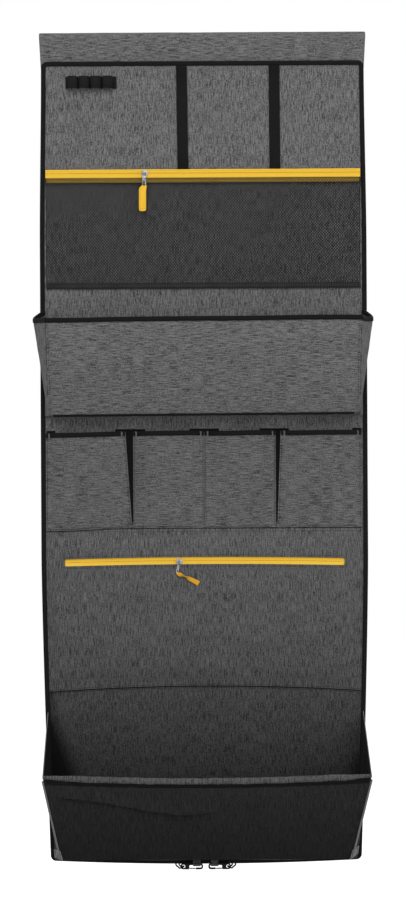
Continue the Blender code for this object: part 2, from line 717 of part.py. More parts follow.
def lower_panel_depth(x, z):
    """How far the lower panel stands in front of the face: level at its zip, and full below it."""
    at_zip = window_zip_levels()["tape"][1] + GAP + CLOTH
    edge = bound_half_width(z)
    side = ease((edge - abs(x)) / (edge - zip_pocket_flat()))
    zip_foot = WINDOW_ZIP_Z - WINDOW_HEIGHT
    over = ease((MIDDLE_SEAM - SEAM - z) / (MIDDLE_SEAM - WINDOW_ZIP_Z - WINDOW_HEIGHT))
    fall = max((zip_foot - z) / (zip_foot - CURVED_SEAM), 0.0)
    belly = math.sin(math.pi * min(fall, 1.0)) ** 2
    under = ease((z - curved_seam_z(x)) / ZIP_POCKET_RAMP)
    return side * over * under * (at_zip + (ZIP_POCKET_BELLY - at_zip) * belly)


def build_window_zip(inks, root):
    """The zipped pocket behind the lower panel: its cloth with a window, its bag and its zip."""
    heights = [MIDDLE_SEAM - SEAM]
    rows = [0.33, 0.67, 1.0]
    zip_top = WINDOW_ZIP_Z + WINDOW_HEIGHT
    zip_foot = WINDOW_ZIP_Z - WINDOW_HEIGHT
    heights += [heights[0] + (zip_top - heights[0]) * s for s in rows]

    def point(u, v):
        edge = half_width(CURVED_SEAM) - PANEL_INSET
        x = edge * u
        seam = curved_seam_z(x)
        if v <= 3:
            z = heights[v]
        elif v == 4:
            z = zip_foot
        else:
            z = zip_foot + (seam - zip_foot) * (v - 4) / 7
        x = (half_width(z) - PANEL_INSET) * u
        return (x, level(lower_panel_depth(x, z)), z)

    edge = half_width(WINDOW_ZIP_Z) - PANEL_INSET
    ramp = [zip_pocket_flat() + (bound_half_width(WINDOW_ZIP_Z) - zip_pocket_flat()) * s for s in steps(3)]
    right = [0.3, 0.6] + [x / edge for x in ramp] + [1]
    across = [-u for u in reversed(right)] + [0] + right
    body = cloth("lower_panel", point, across, range(12), CLOTH, inks["panel"], root)
    cutter = plate("window", slot_outline(0, WINDOW_ZIP_Z, WINDOW_LENGTH, WINDOW_HEIGHT),
                   level(-CLOTH - GAP), level(2 * ZIP_POCKET_BELLY), inks["panel"], root)
    combine(body, [cutter], "DIFFERENCE")

    near = bag_depth()
    half = BAG_WIDTH / 2
    bag = rounded_outline(-half, half, BAG_FOOT, BAG_TOP, FOOT_RADIUS)
    plate("zip_pocket_bag", bag, level(near), level(near + THIN), inks["lining"], root)

    levels = window_zip_levels()
    near, far = levels["tape"]
    tape_half = WINDOW_LENGTH / 2 + WINDOW_TAPE_MARGIN
    tape_top = WINDOW_HEIGHT / 2 + WINDOW_TAPE_MARGIN / 2
    outer = [(tape_half, tape_top), (-tape_half, tape_top), (-tape_half, -tape_top), (tape_half, -tape_top)]
    slot_half = WINDOW_LENGTH / 2 - WINDOW_TAPE_MARGIN
    inner = [(slot_half, ZIP_SLOT / 2), (-slot_half, ZIP_SLOT / 2), (-slot_half, -ZIP_SLOT / 2),
             (slot_half, -ZIP_SLOT / 2)]
    outer, inner = ([(x, WINDOW_ZIP_Z + z) for x, z in line] for line in (outer, inner))
    hoop("window_zip_tape", outer, inner, level(near), level(far), "Y", inks["zip_tape"], root)
    zip_coil("window_zip_coil", WINDOW_ZIP_Z, WINDOW_LENGTH, levels, inks["coil"], root)

    x = WINDOW_SLIDER_X
    ride = pivot("window_zip_slider_ride", (x, 0, WINDOW_ZIP_Z), root)
    zip_slider("window_zip_slider", x, WINDOW_ZIP_Z, levels, inks["metal"], ride)
    pull_z = WINDOW_ZIP_Z + BAIL_WIRE / 2
    swing = pivot("window_zip_pull_hinge", (x, level(levels["pivot"]), pull_z), ride)
    zip_pull("window_zip_pull", x, pull_z, levels, inks["metal"], swing)
    bar_z = pull_z - PULL_LENGTH + PULL / 2
    fold = pivot("window_zip_tab_hinge", (x, level(levels["pivot"]), bar_z), swing)
    shoulder = bar_z - PULL / 2 - GAP - TAB / 4
    upper, lower = [], []
    for s in steps(6):
        along = math.sin(s * math.pi / 2)
        middle = (x + WINDOW_TAB_REACH * s * s, shoulder - WINDOW_TAB_DROP * along)
        turn = Vector((2 * WINDOW_TAB_REACH * s, -WINDOW_TAB_DROP * math.cos(s * math.pi / 2) * math.pi / 2))
        turn.normalize()
        half = WINDOW_TAB_WIDTH / 2
        upper.append((middle[0] - turn[1] * half, middle[1] + turn[0] * half))
        lower.append((middle[0] + turn[1] * half, middle[1] - turn[0] * half))
    zip_tab("window_zip_tab", x, bar_z, levels, upper + lower[::-1], inks["zip_tab"], fold)


def mesh_depth(x, z):
    """How far the mesh pocket's outer face stands in front of the panel."""
    down = (MESH_TOP - z) / (MESH_TOP - MESH_FOOT - MESH_HEM_HEIGHT - GAP)
    top = zip_levels(0.0)["tape"][1] + GAP + MESH
    flat = GAP + MESH
    belly = plateau(min(max(down, 0.0), 1.0), 6)
    start = ease((MESH_TOP - TOP_ZIP_LOWER_HIDDEN - z) / MESH_SIDE_RUN)
    head = top + (flat - top) * start
    side = ease((TOP_ZIP_LENGTH / 2 - abs(x)) / MESH_SIDE_RUN)
    full = MESH_BELLY + GAP + MESH
    bulge = (top + (full - top) * start) if down < 0.5 else flat + (full - flat) * belly
    return head + (bulge - head) * side


def build_mesh_pocket(inks, root):
    """The mesh sheet under the top zip, and the hem along its foot."""
    half = TOP_ZIP_LENGTH / 2
    foot = MESH_FOOT + MESH_HEM_HEIGHT / 4
    mesh_foot_run = MESH_TOP - foot

    def point(u, v):
        x, z = half * u, MESH_TOP - mesh_foot_run * v
        return (x, level(mesh_depth(x, z)), z)

    across = [-1, -0.97, -0.94, -0.90, -0.86, -0.5, 0, 0.5, 0.86, 0.90, 0.94, 0.97, 1]
    free = (MESH_TOP - MESH_FOOT - MESH_HEM_HEIGHT - GAP) / mesh_foot_run
    rows = (0, 0.04, 0.08, 0.12, 0.16, 0.20, 0.35, 0.5, 0.65, 0.78, 0.86, 0.91, 0.96, 1)
    down = [free * v for v in rows] + [1]
    cloth("mesh_pocket", point, across, down, MESH, inks["mesh"], root)
    near = 2 * GAP + MESH
    hem = [(half, MESH_FOOT + MESH_HEM_HEIGHT), (-half, MESH_FOOT + MESH_HEM_HEIGHT), (-half, MESH_FOOT),
           (half, MESH_FOOT)]
    plate("mesh_hem", hem, level(near), level(near + WEBBING), inks["binding"], root)


def binding_channel(name, line, wall, ink, carrier, turn=1):
    """A folded tape over the top edge of a cloth, along a line on the cloth's outer surface."""
    half_in, half_out = wall / 2 + GAP, wall / 2 + GAP + BINDING_WALL
    rings = []
    for n, spot in enumerate(line):
        first, last = max(n, 1), min(n + 1, len(line) - 1)
        before, after = line[first] - line[first - 1], line[last] - line[last - 1]
        before, after = (Vector((run[1], -run[0], 0)).normalized() * turn for run in (before, after))
        out = (before + after) / (1 + before.dot(after))
        place = spot - out * (wall / 2)
        corners = ((half_out, -TOP_BINDING), (half_out, 0), (-half_out, 0), (-half_out, -TOP_BINDING),
                   (-half_in, -TOP_BINDING), (-half_in, -BINDING_WALL), (half_in, -BINDING_WALL),
                   (half_in, -TOP_BINDING))
        rings.append([place + out * side + Vector((0, 0, drop)) for side, drop in corners])
    return sweep(name, rings, ink, carrier)


def shelf_bow(u):
    """How far the shelf pocket's front bows out along its width."""
    return SHELF_BELLY * plateau((u + 1) / 2, 2)


def build_shelf_pocket(inks, root):
    """The shelf pocket: front with its floor, side gussets that fold outwards, and their bindings."""
    hinge = pivot("shelf_front_hinge", (0, level(GAP + CLOTH / 2), SHELF_FOOT), root)
    half = SHELF_WIDTH / 2
    top = SHELF_TOP - BINDING_WALL - GAP
    fold = SHELF_TOP - TOP_BINDING - GAP
    corner = SHELF_FOOT + SHELF_CORNER

    def point(u, v):
        x = half * u
        if v <= 5:
            z = top if v == 0 else fold + (corner - fold) * (v - 1) / 4
            fall = max((fold - z) / (fold - corner), 0.0)
            depth = SHELF_DEPTH + (SHELF_FLOOR_DEPTH - SHELF_DEPTH) * fall + shelf_bow(u) * math.cos(fall)
        else:
            start = SHELF_FLOOR_DEPTH + shelf_bow(u) * math.cos(1)
            run = (v - 5) / 3
            depth = start + (2 * GAP - start) * run
            z = corner - SHELF_CORNER * min(run * 3, 1)
        return (x, level(depth), z)

    across = [-1, -0.75, -0.5, -0.25, 0, 0.25, 0.5, 0.75, 1]
    cloth("shelf_front", point, across, range(9), CLOTH, inks["pocket"], hinge)
    line = [Vector((point(u, 0)[0], point(u, 0)[1], SHELF_TOP)) for u in across]
    binding_channel("shelf_binding", line, CLOTH, inks["binding"], hinge)

    for side, name in ((-1, "left"), (1, "right")):
        head = shelf_gusset_line(SHELF_DEPTH, SHELF_FOLD_OUT)
        base = shelf_gusset_line(SHELF_FLOOR_DEPTH, SHELF_FOLD_OUT_FOOT)

        def point(u, v, side=side, head=head, base=base):
            x, depth, z = head[u]
            if v == 0:
                return (side * x, level(depth), z - BINDING_WALL - GAP)
            fall = (v - 1) / 6
            x, depth = x + (base[u][0] - x) * fall, depth + (base[u][1] - depth) * fall
            z -= TOP_BINDING + GAP
            return (side * x, level(depth), z + (SHELF_FOOT + GAP - z) * fall)

        cloth(f"shelf_gusset_{name}", point, range(5), range(8), CLOTH, inks["pocket"], root, flip=side > 0)
        line = [Vector((side * x, level(depth), z)) for x, depth, z in head]
        for end, inner in ((0, 1), (-1, -2)):
            run = line[inner] - line[end]
            line[end] = line[end] + run.normalized() * (CLOTH + BINDING_WALL)
        binding_channel(f"shelf_gusset_binding_{name}", line, CLOTH, inks["binding"], root, turn=-side)


def shelf_gusset_line(depth, out):
    """A gusset's line from the panel to the shelf's front, folded outwards between them: x, depth, z."""
    back_x = half_width(SHELF_TOP) - BINDING_WIDTH + GAP
    front_x = SHELF_WIDTH / 2 + GAP + BINDING_WALL + GAP
    fold_x = SHELF_WIDTH / 2 + out
    rise = SHELF_BACK_TOP - SHELF_TOP
    return [(back_x, ON_BINDING, SHELF_BACK_TOP),
            (back_x + (fold_x - back_x) * 0.55, depth * 0.25, SHELF_TOP + rise * 0.6),
            (fold_x, depth * 0.49, SHELF_TOP + rise * 0.1),
            ((front_x + fold_x) / 2, depth * 0.74, SHELF_TOP),
            (front_x, depth - CLOTH, SHELF_TOP)]


def pocket_face(left, right, foot_left, foot_right, full, open_left=0.0, open_right=0.0):
    """The outer surface of a pocket's front, which is (u, v) -> point, widest open at its top."""
    def point(u, v):
        start = left + (foot_left - left) * v
        end = right + (foot_right - right) * v
        x = start + (end - start) * u
        top = POCKET_TOP - BINDING_WALL - GAP
        z = top + (POCKET_FOOT - top) * v
        fold = POCKET_TOP - TOP_BINDING - GAP
        rise = min((z - POCKET_FOOT) / (fold - POCKET_FOOT), 1.0) ** 0.8
        edge = (open_left * (1 - u) + open_right * u) * rise
        swell = full * rise * plateau(u, 4)
        return (x, level(GAP + CLOTH + max(edge, edge + (swell - edge) * plateau(u, 4))), z)
    return point


def build_pocket_row(inks, root):
    """Four pockets in a row. The outer two have a dark pleat as their inner side wall."""
    across = [0, 0.04, 0.1, 0.2, 0.35, 0.5, 0.65, 0.8, 0.9, 0.96, 1]
    seam_left, seam_right = POCKET_SEAM_LEFT, POCKET_SEAM_RIGHT
    fold_left = seam_left - PLEAT_LEFT_WIDTH
    fold_right = seam_right + PLEAT_RIGHT_WIDTH
    foot_gap = SEAM * 2
    bound = TOP_BINDING / (POCKET_TOP - POCKET_FOOT)
    faces = (
        ("1", pocket_face(POCKET_ROW_LEFT, fold_left, POCKET_ROW_LEFT, seam_left - foot_gap,
                          OUTER_POCKET_DEPTH, open_right=PLEAT_DEPTH)),
        ("2", pocket_face(seam_left + SEAM, -SEAM / 2, seam_left + SEAM, -SEAM / 2, INNER_POCKET_DEPTH)),
        ("3", pocket_face(SEAM / 2, seam_right - SEAM, SEAM / 2, seam_right - SEAM, INNER_POCKET_DEPTH)),
        ("4", pocket_face(fold_right, POCKET_ROW_RIGHT, seam_right + foot_gap, POCKET_ROW_RIGHT,
                          OUTER_POCKET_DEPTH, open_left=PLEAT_DEPTH)),
    )
    for number, point in faces:
        down = [0] + [bound + (1 - bound) * s for s in steps(6)]
        cloth(f"pocket_{number}", point, across, down, CLOTH, inks["pocket"], root)
        line = [Vector((point(u, 0)[0], point(u, 0)[1], POCKET_TOP)) for u in across[1:-1]]
        binding_channel(f"pocket_binding_{number}", line, CLOTH, inks["binding"], root)

    for name, fold, seam in (("left", fold_left, seam_left), ("right", fold_right, seam_right)):
        toward = 1 if seam > fold else -1

        def point(u, v, fold=fold, seam=seam, toward=toward):
            near = fold + (seam - toward * foot_gap - fold) * v * PLEAT_REACH_RATIO + toward * SEAM
            x = near + (seam - toward * SEAM - near) * u
            depth = GAP + THIN + (PLEAT_DEPTH - CLOTH) * (1 - u) * (1 - v * PLEAT_REACH_RATIO) ** 0.8
            return (x, level(depth), POCKET_TOP + (POCKET_FOOT - POCKET_TOP) * v * PLEAT_REACH_RATIO)

        cloth(f"pleat_{name}", point, steps(3), steps(5), THIN, inks["dark"], root, flip=toward < 0)


def bin_front_point(u, v):
    """The bin front's outer surface: u from -1 to 1 across, v from 0 at its top to 1 at its foot."""
    top = BIN_FRONT_TOP - HEM_HEIGHT / 2 - BIN_DROOP * (1 - u * u)
    half = (BIN_TOP_WIDTH + (BIN_FOOT_WIDTH - BIN_TOP_WIDTH) * v) / 2
    depth = BIN_DEPTH + (BIN_FLOOR_DEPTH - BIN_DEPTH) * v
    belly = BIN_BELLY * math.sin(math.pi * v) * (1 - u * u)
    return (half * u, level(depth + belly), top + (BIN_FRONT_FOOT - top) * v)


def build_bin(inks, root):
    """The bin: a floor hinged at the panel's foot, a front hinged at the floor, and two gussets."""
    back = ON_BINDING + CLOTH / 2
    floor_hinge = pivot("bin_floor_hinge", (0, level(back), BIN_BACK_FOOT + CLOTH), root)
    front_foot = level(BIN_FLOOR_DEPTH - CLOTH / 2)
    front_hinge = pivot("bin_front_hinge", (0, front_foot, BIN_FRONT_FOOT), floor_hinge)

    back_half = BIN_BACK_FOOT_WIDTH / 2 - CLOTH - GAP
    near_half = BIN_FOOT_WIDTH / 2 - CLOTH - GAP

    def floor_point(u, v):
        depth = back + (BIN_FLOOR_DEPTH - CLOTH - GAP * 2 - back) * v
        half = back_half + (near_half - back_half) * v
        z = BIN_BACK_FOOT + (BIN_FRONT_FOOT + GAP - BIN_BACK_FOOT) * v
        return (half * u, level(depth), z)

    cloth("bin_floor", floor_point, [-1, -0.5, 0, 0.5, 1], steps(3), CLOTH, inks["bin"], floor_hinge,
          flip=True)
    across = [-1, -0.9, -0.7, -0.5, -0.25, 0, 0.25, 0.5, 0.7, 0.9, 1]
    cloth("bin_front", bin_front_point, across, steps(6), CLOTH, inks["bin"], front_hinge)

    rings = []
    hem_reach = 1 - (CLOTH + 2 * GAP) / (BIN_TOP_WIDTH / 2)
    for u in across:
        x, y, z = bin_front_point(u * hem_reach, 0)
        top = z + HEM_HEIGHT / 2
        rings.append([(x, y + CLOTH / 2 + HEM_ROLL / 2 * across, top + GAP + HEM_HEIGHT / 2 * up)
                      for across, up in octagon()])
    sweep("bin_hem", rings, inks["hem"], front_hinge, smooth=True)

    for side, name in ((-1, "left"), (1, "right")):
        out = PIPING_RADIUS + GAP
        line = []
        for v in steps(8):
            x, y, z = bin_front_point(side, v)
            line.append(Vector((x + side * out, y + CLOTH / 2, z)))
        rings = []
        for n, place in enumerate(line):
            ring = []
            for k in range(6):
                turn = math.radians(60 * k)
                ring.append(place + Vector((PIPING_RADIUS * math.cos(turn), PIPING_RADIUS * math.sin(turn), 0)))
            rings.append(ring)
        sweep(f"bin_piping_{name}", rings, inks["piping"], front_hinge, smooth=True)

        def point(u, v, side=side):
            back_x = (BIN_BACK_WIDTH + (BIN_BACK_FOOT_WIDTH - BIN_BACK_WIDTH) * v) / 2
            front_x = (BIN_TOP_WIDTH + (BIN_FOOT_WIDTH - BIN_TOP_WIDTH) * v) / 2
            front_depth = BIN_DEPTH + (BIN_FLOOR_DEPTH - BIN_DEPTH) * v - CLOTH - GAP - PIPING_RADIUS
            back_z = BIN_BACK_TOP + (BIN_BACK_FOOT - BIN_BACK_TOP) * v
            front_z = BIN_FRONT_TOP + (BIN_FRONT_FOOT - BIN_FRONT_TOP) * v
            belly = GUSSET_BELLY * math.sin(math.pi * u) * math.sin(math.pi * min(v + 0.15, 1))
            x = back_x + (front_x - back_x) * u + belly
            depth = ON_BINDING + (front_depth - ON_BINDING) * u
            return (side * x, level(depth), back_z + (front_z - back_z) * u)

        cloth(f"bin_gusset_{name}", point, steps(6), steps(6), CLOTH, inks["bin"], root, flip=side > 0)


def build_hook(name, side, inks, root):
    """One snap hook on its parking tab, with a sprung gate and the cord through its eye."""
    clear = HOOK_WIRE / math.sqrt(2) + GAP
    full = clear + TAB_RIBBON
    middle_d = ON_BINDING + full
    bar_z = foot_z(0) - GAP - HOOK_WIRE / 2
    y_near, y_far = level(middle_d - HOOK_WIRE / 2), level(middle_d + HOOK_WIRE / 2)
    inner_x = HOOK_INNER_X if side < 0 else -HOOK_INNER_X - HOOK_RIGHT_SHIFT
    outer_x = inner_x + side * HOOK_LENGTH
    top, foot = bar_z + HOOK_WIRE / 2, bar_z + HOOK_WIRE / 2 - HOOK_HEIGHT
    swing = pivot(f"hook_hinge_{name}", (inner_x, level(middle_d), bar_z), root)

    low, high = min(inner_x, outer_x), max(inner_x, outer_x)
    outline = rounded_outline(low, high, foot, top, HOOK_HEIGHT / 2 - GAP, sides=6)
    body = plate(f"hook_{name}", outline, y_near, y_far, inks["hook"], swing)
    oval_z = (top + foot) / 2
    oval_x = inner_x + side * (HOOK_WIRE + OVAL_LENGTH / 2)
    oval = plate("oval", slot_outline(oval_x, oval_z, OVAL_LENGTH, HOOK_HEIGHT - 2 * HOOK_WIRE),
                 y_near + HOOK_WIRE, y_far - HOOK_WIRE, inks["hook"], swing)
    eye_x = outer_x - side * (EYE_HOLE / 2 + HOOK_WIRE * 0.75)
    eye = plate("eye", slot_outline(eye_x, oval_z, EYE_HOLE + MERGE, EYE_HOLE), y_near + HOOK_WIRE,
                y_far - HOOK_WIRE, inks["hook"], swing)
    gate_tip = inner_x + side * GATE_INSET
    gate_root = gate_tip + side * GATE_LENGTH
    low, high = min(gate_tip, gate_root), max(gate_tip, gate_root)
    gate_top = foot + HOOK_WIRE
    gap_box = [(high + GAP, gate_top + GAP), (low - GAP, gate_top + GAP), (low - GAP, foot - HOOK_WIRE),
               (high + GAP, foot - HOOK_WIRE)]
    mouth = plate("mouth", gap_box, y_near + HOOK_WIRE, y_far - HOOK_WIRE, inks["hook"], swing)
    combine(body, [oval, eye, mouth], "DIFFERENCE")

    hinge_x = gate_root - side * HOOK_WIRE / 2
    hinge = pivot(f"gate_hinge_{name}", (hinge_x, level(middle_d), foot + HOOK_WIRE / 2), swing)
    outline = rounded_outline(low, high, foot + GAP, gate_top - GAP, (HOOK_WIRE - 2 * GAP) / 2 - MERGE)
    plate(f"hook_gate_{name}", outline, y_near - GAP, y_far + GAP, inks["gate"], hinge)

    tab_x = inner_x + side * (HOOK_WIRE * 1.5 + TAB_WIDTH / 2)
    inner, outer = [], []
    for y, z in octagon():
        inner.append((level(middle_d) + clear * y, bar_z + clear * z))
        rise = TAB_SEWN if z > 1 - GAP else 0.0
        outer.append((level(middle_d) + full * y * (0.6 if rise else 1.0), bar_z + full * z + rise))
    hoop(f"parking_tab_{name}", outer, inner, tab_x - TAB_WIDTH / 2, tab_x + TAB_WIDTH / 2, "X",
         inks["panel"], root)
    build_cord_loop(name, side, eye_x, oval_z, level(middle_d), inks, root)


def build_cord_loop(name, side, eye_x, eye_z, eye_y, inks, root):
    """A short cord through the hook's eye, with both ends sewn behind the panel's foot."""
    back = BOARD_BACK_Y + GAP + BINDING_WALL + GAP + CORD_RADIUS
    reach = EYE_HOLE * 2.6
    low = eye_z - CORD_RADIUS
    sewn = foot_z(eye_x) + BINDING_WIDTH
    route = [(eye_x + side * reach, back, sewn), (eye_x + side * reach, back, low + EYE_HOLE * 2),
             (eye_x + side * reach * 0.75, back - CORD_RADIUS, low - CORD_RADIUS),
             (eye_x + side * reach * 0.3, (back + eye_y) / 2, low - CORD_RADIUS * 2),
             (eye_x, eye_y + HOOK_WIRE, eye_z), (eye_x, eye_y - HOOK_WIRE, eye_z),
             (eye_x + side * EYE_HOLE * 1.1, eye_y - HOOK_WIRE, eye_z - EYE_HOLE * 0.4),
             (eye_x + side * reach * 0.95, (back + eye_y) / 2, low - CORD_RADIUS * 3),
             (eye_x + side * reach * 1.35, back - CORD_RADIUS, low - CORD_RADIUS * 0.5),
             (eye_x + side * reach * 1.45, back, low + EYE_HOLE * 2),
             (eye_x + side * reach * 1.45, back, sewn)]
    points = smooth_route([Vector(p) for p in route], 3)
    curve = bpy.data.curves.new(f"cord_loop_{name}", "CURVE")
    curve.dimensions = "3D"
    curve.bevel_depth = CORD_RADIUS
    curve.bevel_resolution = 2
    curve.use_fill_caps = True
    spline = curve.splines.new("POLY")
    spline.points.add(len(points) - 1)
    for slot, place in zip(spline.points, points):
        slot.co = (*place, 1)
    curve.materials.append(inks["binding"])
    obj = bpy.data.objects.new(f"cord_loop_{name}", curve)
    bpy.context.collection.objects.link(obj)
    obj.parent = root


def smooth_route(route, between):
    """Points along a smooth curve through a route's own points."""
    points = []
    for n in range(len(route) - 1):
        before = route[max(n - 1, 0)]
        start, end = route[n], route[n + 1]
        after = route[min(n + 2, len(route) - 1)]
        for k in range(between):
            t = k / between
            points.append(0.5 * (2 * start + (end - before) * t + (2 * before - 5 * start + 4 * end - after)
                                 * t ** 2 + (3 * start - before - 3 * end + after) * t ** 3))
    return points + [route[-1]]


def main():
    """Builds the organizer from its sleeve down to its hooks."""
    clear_scene()
    inks = {
        "panel": material("gray panel cloth", (0.13, 0.13, 0.135), 0.9),
        "dark_panel": material("dark panel cloth", (0.06, 0.06, 0.065), 0.9),
        "pocket": material("gray pocket cloth", (0.11, 0.11, 0.115), 0.9),
        "sleeve": material("gray sleeve cloth", (0.12, 0.12, 0.125), 0.9),
        "lining": material("black lining", (0.03, 0.03, 0.03), 0.9),
        "board": material("stiffening board", (0.25, 0.25, 0.24), 0.8),
        "binding": material("black binding", (0.015, 0.015, 0.016), 0.8),
        "webbing": material("black webbing", (0.014, 0.014, 0.015), 0.75),
        "tape": material("closure tape", (0.02, 0.02, 0.02), 1.0),
        "zip_tape": material("yellow zip tape", (0.90, 0.56, 0.06), 0.75),
        "coil": material("yellow zip coil", (0.76, 0.47, 0.05), 0.45),
        "zip_tab": material("yellow zip tab", (0.88, 0.54, 0.05), 0.7),
        "metal": material("bright metal", (0.75, 0.75, 0.76), 0.25, 1.0),
        "mesh": material("dark mesh", (0.03, 0.03, 0.032), 0.85),
        "dark": material("black pleat cloth", (0.01, 0.01, 0.01), 0.9),
        "bin": material("black bin cloth", (0.02, 0.02, 0.022), 0.85),
        "hem": material("gray rolled hem", (0.05, 0.05, 0.052), 0.9),
        "piping": material("gray piping", (0.16, 0.16, 0.165), 0.8),
        "hook": material("black hook plastic", (0.012, 0.012, 0.012), 0.4),
        "gate": material("gray gate plastic", (0.3, 0.3, 0.3), 0.4),
    }
    root = pivot("organizer", (0, 0, 0))
    build_panel(inks, root)
    build_edge_binding(inks, root)
    build_sleeve(inks, root)
    build_straps(inks, root)
    build_elastic_loops(inks, root)
    build_top_zip(inks, root)
    build_mesh_pocket(inks, root)
    build_shelf_pocket(inks, root)
    build_pocket_row(inks, root)
    build_window_zip(inks, root)
    build_bin(inks, root)
    build_hook("left", -1, inks, root)
    build_hook("right", 1, inks, root)


main()
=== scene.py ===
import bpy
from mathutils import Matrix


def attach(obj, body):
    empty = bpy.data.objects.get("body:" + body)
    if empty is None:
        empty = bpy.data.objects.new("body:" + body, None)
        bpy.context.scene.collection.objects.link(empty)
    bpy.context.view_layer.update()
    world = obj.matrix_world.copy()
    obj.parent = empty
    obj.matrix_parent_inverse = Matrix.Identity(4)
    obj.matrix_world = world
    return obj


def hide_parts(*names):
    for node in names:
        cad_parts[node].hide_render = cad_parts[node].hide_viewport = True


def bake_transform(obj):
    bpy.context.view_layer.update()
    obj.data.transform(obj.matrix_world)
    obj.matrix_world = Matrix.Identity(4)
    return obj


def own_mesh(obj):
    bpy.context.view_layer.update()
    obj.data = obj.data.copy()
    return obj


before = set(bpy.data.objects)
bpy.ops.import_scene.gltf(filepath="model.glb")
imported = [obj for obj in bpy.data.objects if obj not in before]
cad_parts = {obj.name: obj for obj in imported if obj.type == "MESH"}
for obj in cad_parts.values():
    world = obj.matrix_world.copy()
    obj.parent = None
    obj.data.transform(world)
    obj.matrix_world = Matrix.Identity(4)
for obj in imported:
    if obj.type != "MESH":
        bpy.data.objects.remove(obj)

"""A hanging tent organizer, dressed: cloth, zips, pockets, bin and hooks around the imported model.

Metres, +Z up, the panel's face towards -Y, the origin on the axis of the pole sleeve.
"""

import logging
import math
from dataclasses import dataclass
from enum import Enum
from typing import Callable, ClassVar, Sequence

import bpy
from mathutils import Vector, noise

log = logging.getLogger("organizer")

Thing = bpy.types.Object
Socket = bpy.types.NodeSocket
Spot = tuple[float, float, float]
Colour = tuple[float, float, float]
Place = Callable[[float, float], Spot]

GAP = 0.0003
CLOTH = 0.0012
FACE_Y = -0.0149
BOARD_BACK_Y = -0.0114
TUCK = 0.0011
LAID = 0.0001
ALIGNED = 0.999
SIDES = ((-1, "left"), (1, "right"))
OUTWARDS = Vector((0, -1, 0))
BACKWARDS = Vector((0, 1, 0))


class Run(Enum):
    """Which way the threads of a cloth show most: the width and height of one fleck, in metres."""

    ALONG = (0.0160, 0.0008)
    DOWN = (0.0008, 0.0150)


class Source(Enum):
    """What a pattern is laid on: the piece's own flat cut, or its place on the object."""

    CUT = "UV"
    PLACE = "Object"


# ---- places


def level(depth: float) -> float:
    """Returns the Y of a plane this far in front of the panel's face."""
    return FACE_Y - depth


def ease(value: float) -> float:
    """Returns a smooth step from 0 to 1."""
    value = min(max(value, 0.0), 1.0)
    return value * value * (3 - 2 * value)


def laid(point: Spot) -> Vector:
    """Returns where a thread lies on a point of the cloth's surface."""
    return Vector(point) + OUTWARDS * LAID


def plateau(value: float, power: float = 4) -> float:
    """Returns 1 in the middle of 0..1, falling to 0 at both ends."""
    return 1 - abs(2 * value - 1) ** power


def mix(start: float, end: float, share: float) -> float:
    """Returns the value this share of the way from start to end."""
    return start + (end - start) * share


def steps(count: int) -> list[float]:
    """Returns count + 1 even values from 0 to 1."""
    return [n / count for n in range(count + 1)]


def ripple(x: float, z: float, size: float, seed: float = 0.0) -> float:
    """Returns a smooth unevenness from about -1 to 1.

    Args:
        x: Place across, in metres.
        z: Place up, in metres.
        size: Width of one swell, in metres.
        seed: Picks another pattern.

    Returns:
        The height of the swell there.
    """
    return noise.noise(Vector((x / size + seed, z / size - seed, seed * 1.7))) * 1.6


def crease(x: float, z: float, size: float, seed: float = 0.0) -> float:
    """Returns sharp folds from 0 to 1, such as slack cloth has.

    Args:
        x: Place across, in metres.
        z: Place up, in metres.
        size: Distance between folds, in metres.
        seed: Picks another pattern.

    Returns:
        The height of the fold there.
    """
    bend = ripple(x, z, size * 2.2, seed + 3.1) * size * 0.5
    return max(1 - abs(ripple(x + bend, z + bend, size, seed)) * 2.2, 0.0) ** 1.5


# ---- making pieces


def pick(obj: Thing) -> None:
    """Selects one object and nothing else.

    Args:
        obj: The object.
    """
    bpy.ops.object.select_all(action="DESELECT")
    obj.select_set(True)
    bpy.context.view_layer.objects.active = obj


def modify(obj: Thing, kind: str, **settings: object) -> None:
    """Adds a modifier and applies it.

    Args:
        obj: The piece.
        kind: The modifier's type, such as BEVEL.
        **settings: Its values by name.
    """
    pick(obj)
    made = obj.modifiers.new(kind.lower(), kind)
    for name, value in settings.items():
        setattr(made, name, value)
    bpy.ops.object.modifier_apply(modifier=made.name)


def bevel_edges(obj: Thing, chosen: Callable[[Vector, Vector], bool], offset: float, segments: int) -> None:
    """Rounds the edges that are wanted.

    Args:
        obj: The piece.
        chosen: Takes an edge's middle and its direction, and says whether it is wanted.
        offset: Width of the rounding.
        segments: Faces across it.
    """
    pick(obj)
    bpy.ops.object.mode_set(mode="EDIT")
    bpy.ops.mesh.select_mode(type="EDGE")
    bpy.ops.mesh.select_all(action="DESELECT")
    bpy.ops.object.mode_set(mode="OBJECT")
    points = obj.data.vertices
    for edge in obj.data.edges:
        start, end = (points[n].co for n in edge.vertices)
        edge.select = chosen((start + end) / 2, (end - start).normalized())
    bpy.ops.object.mode_set(mode="EDIT")
    bpy.ops.mesh.bevel(offset=offset, segments=segments, affect="EDGES")
    bpy.ops.object.mode_set(mode="OBJECT")


def block(name: str, low: Sequence[float], high: Sequence[float]) -> Thing:
    """Adds a box between two corners, with its place in its mesh.

    Args:
        name: The piece's name.
        low: Its lowest corner.
        high: Its highest corner.

    Returns:
        The new object.
    """
    low, high = Vector(low), Vector(high)
    bpy.ops.object.select_all(action="DESELECT")
    bpy.ops.mesh.primitive_cube_add(size=1, location=(low + high) / 2, scale=high - low)
    obj = bpy.context.object
    obj.name = obj.data.name = name
    pick(obj)
    bpy.ops.object.transform_apply(location=True, rotation=True, scale=True)
    return obj


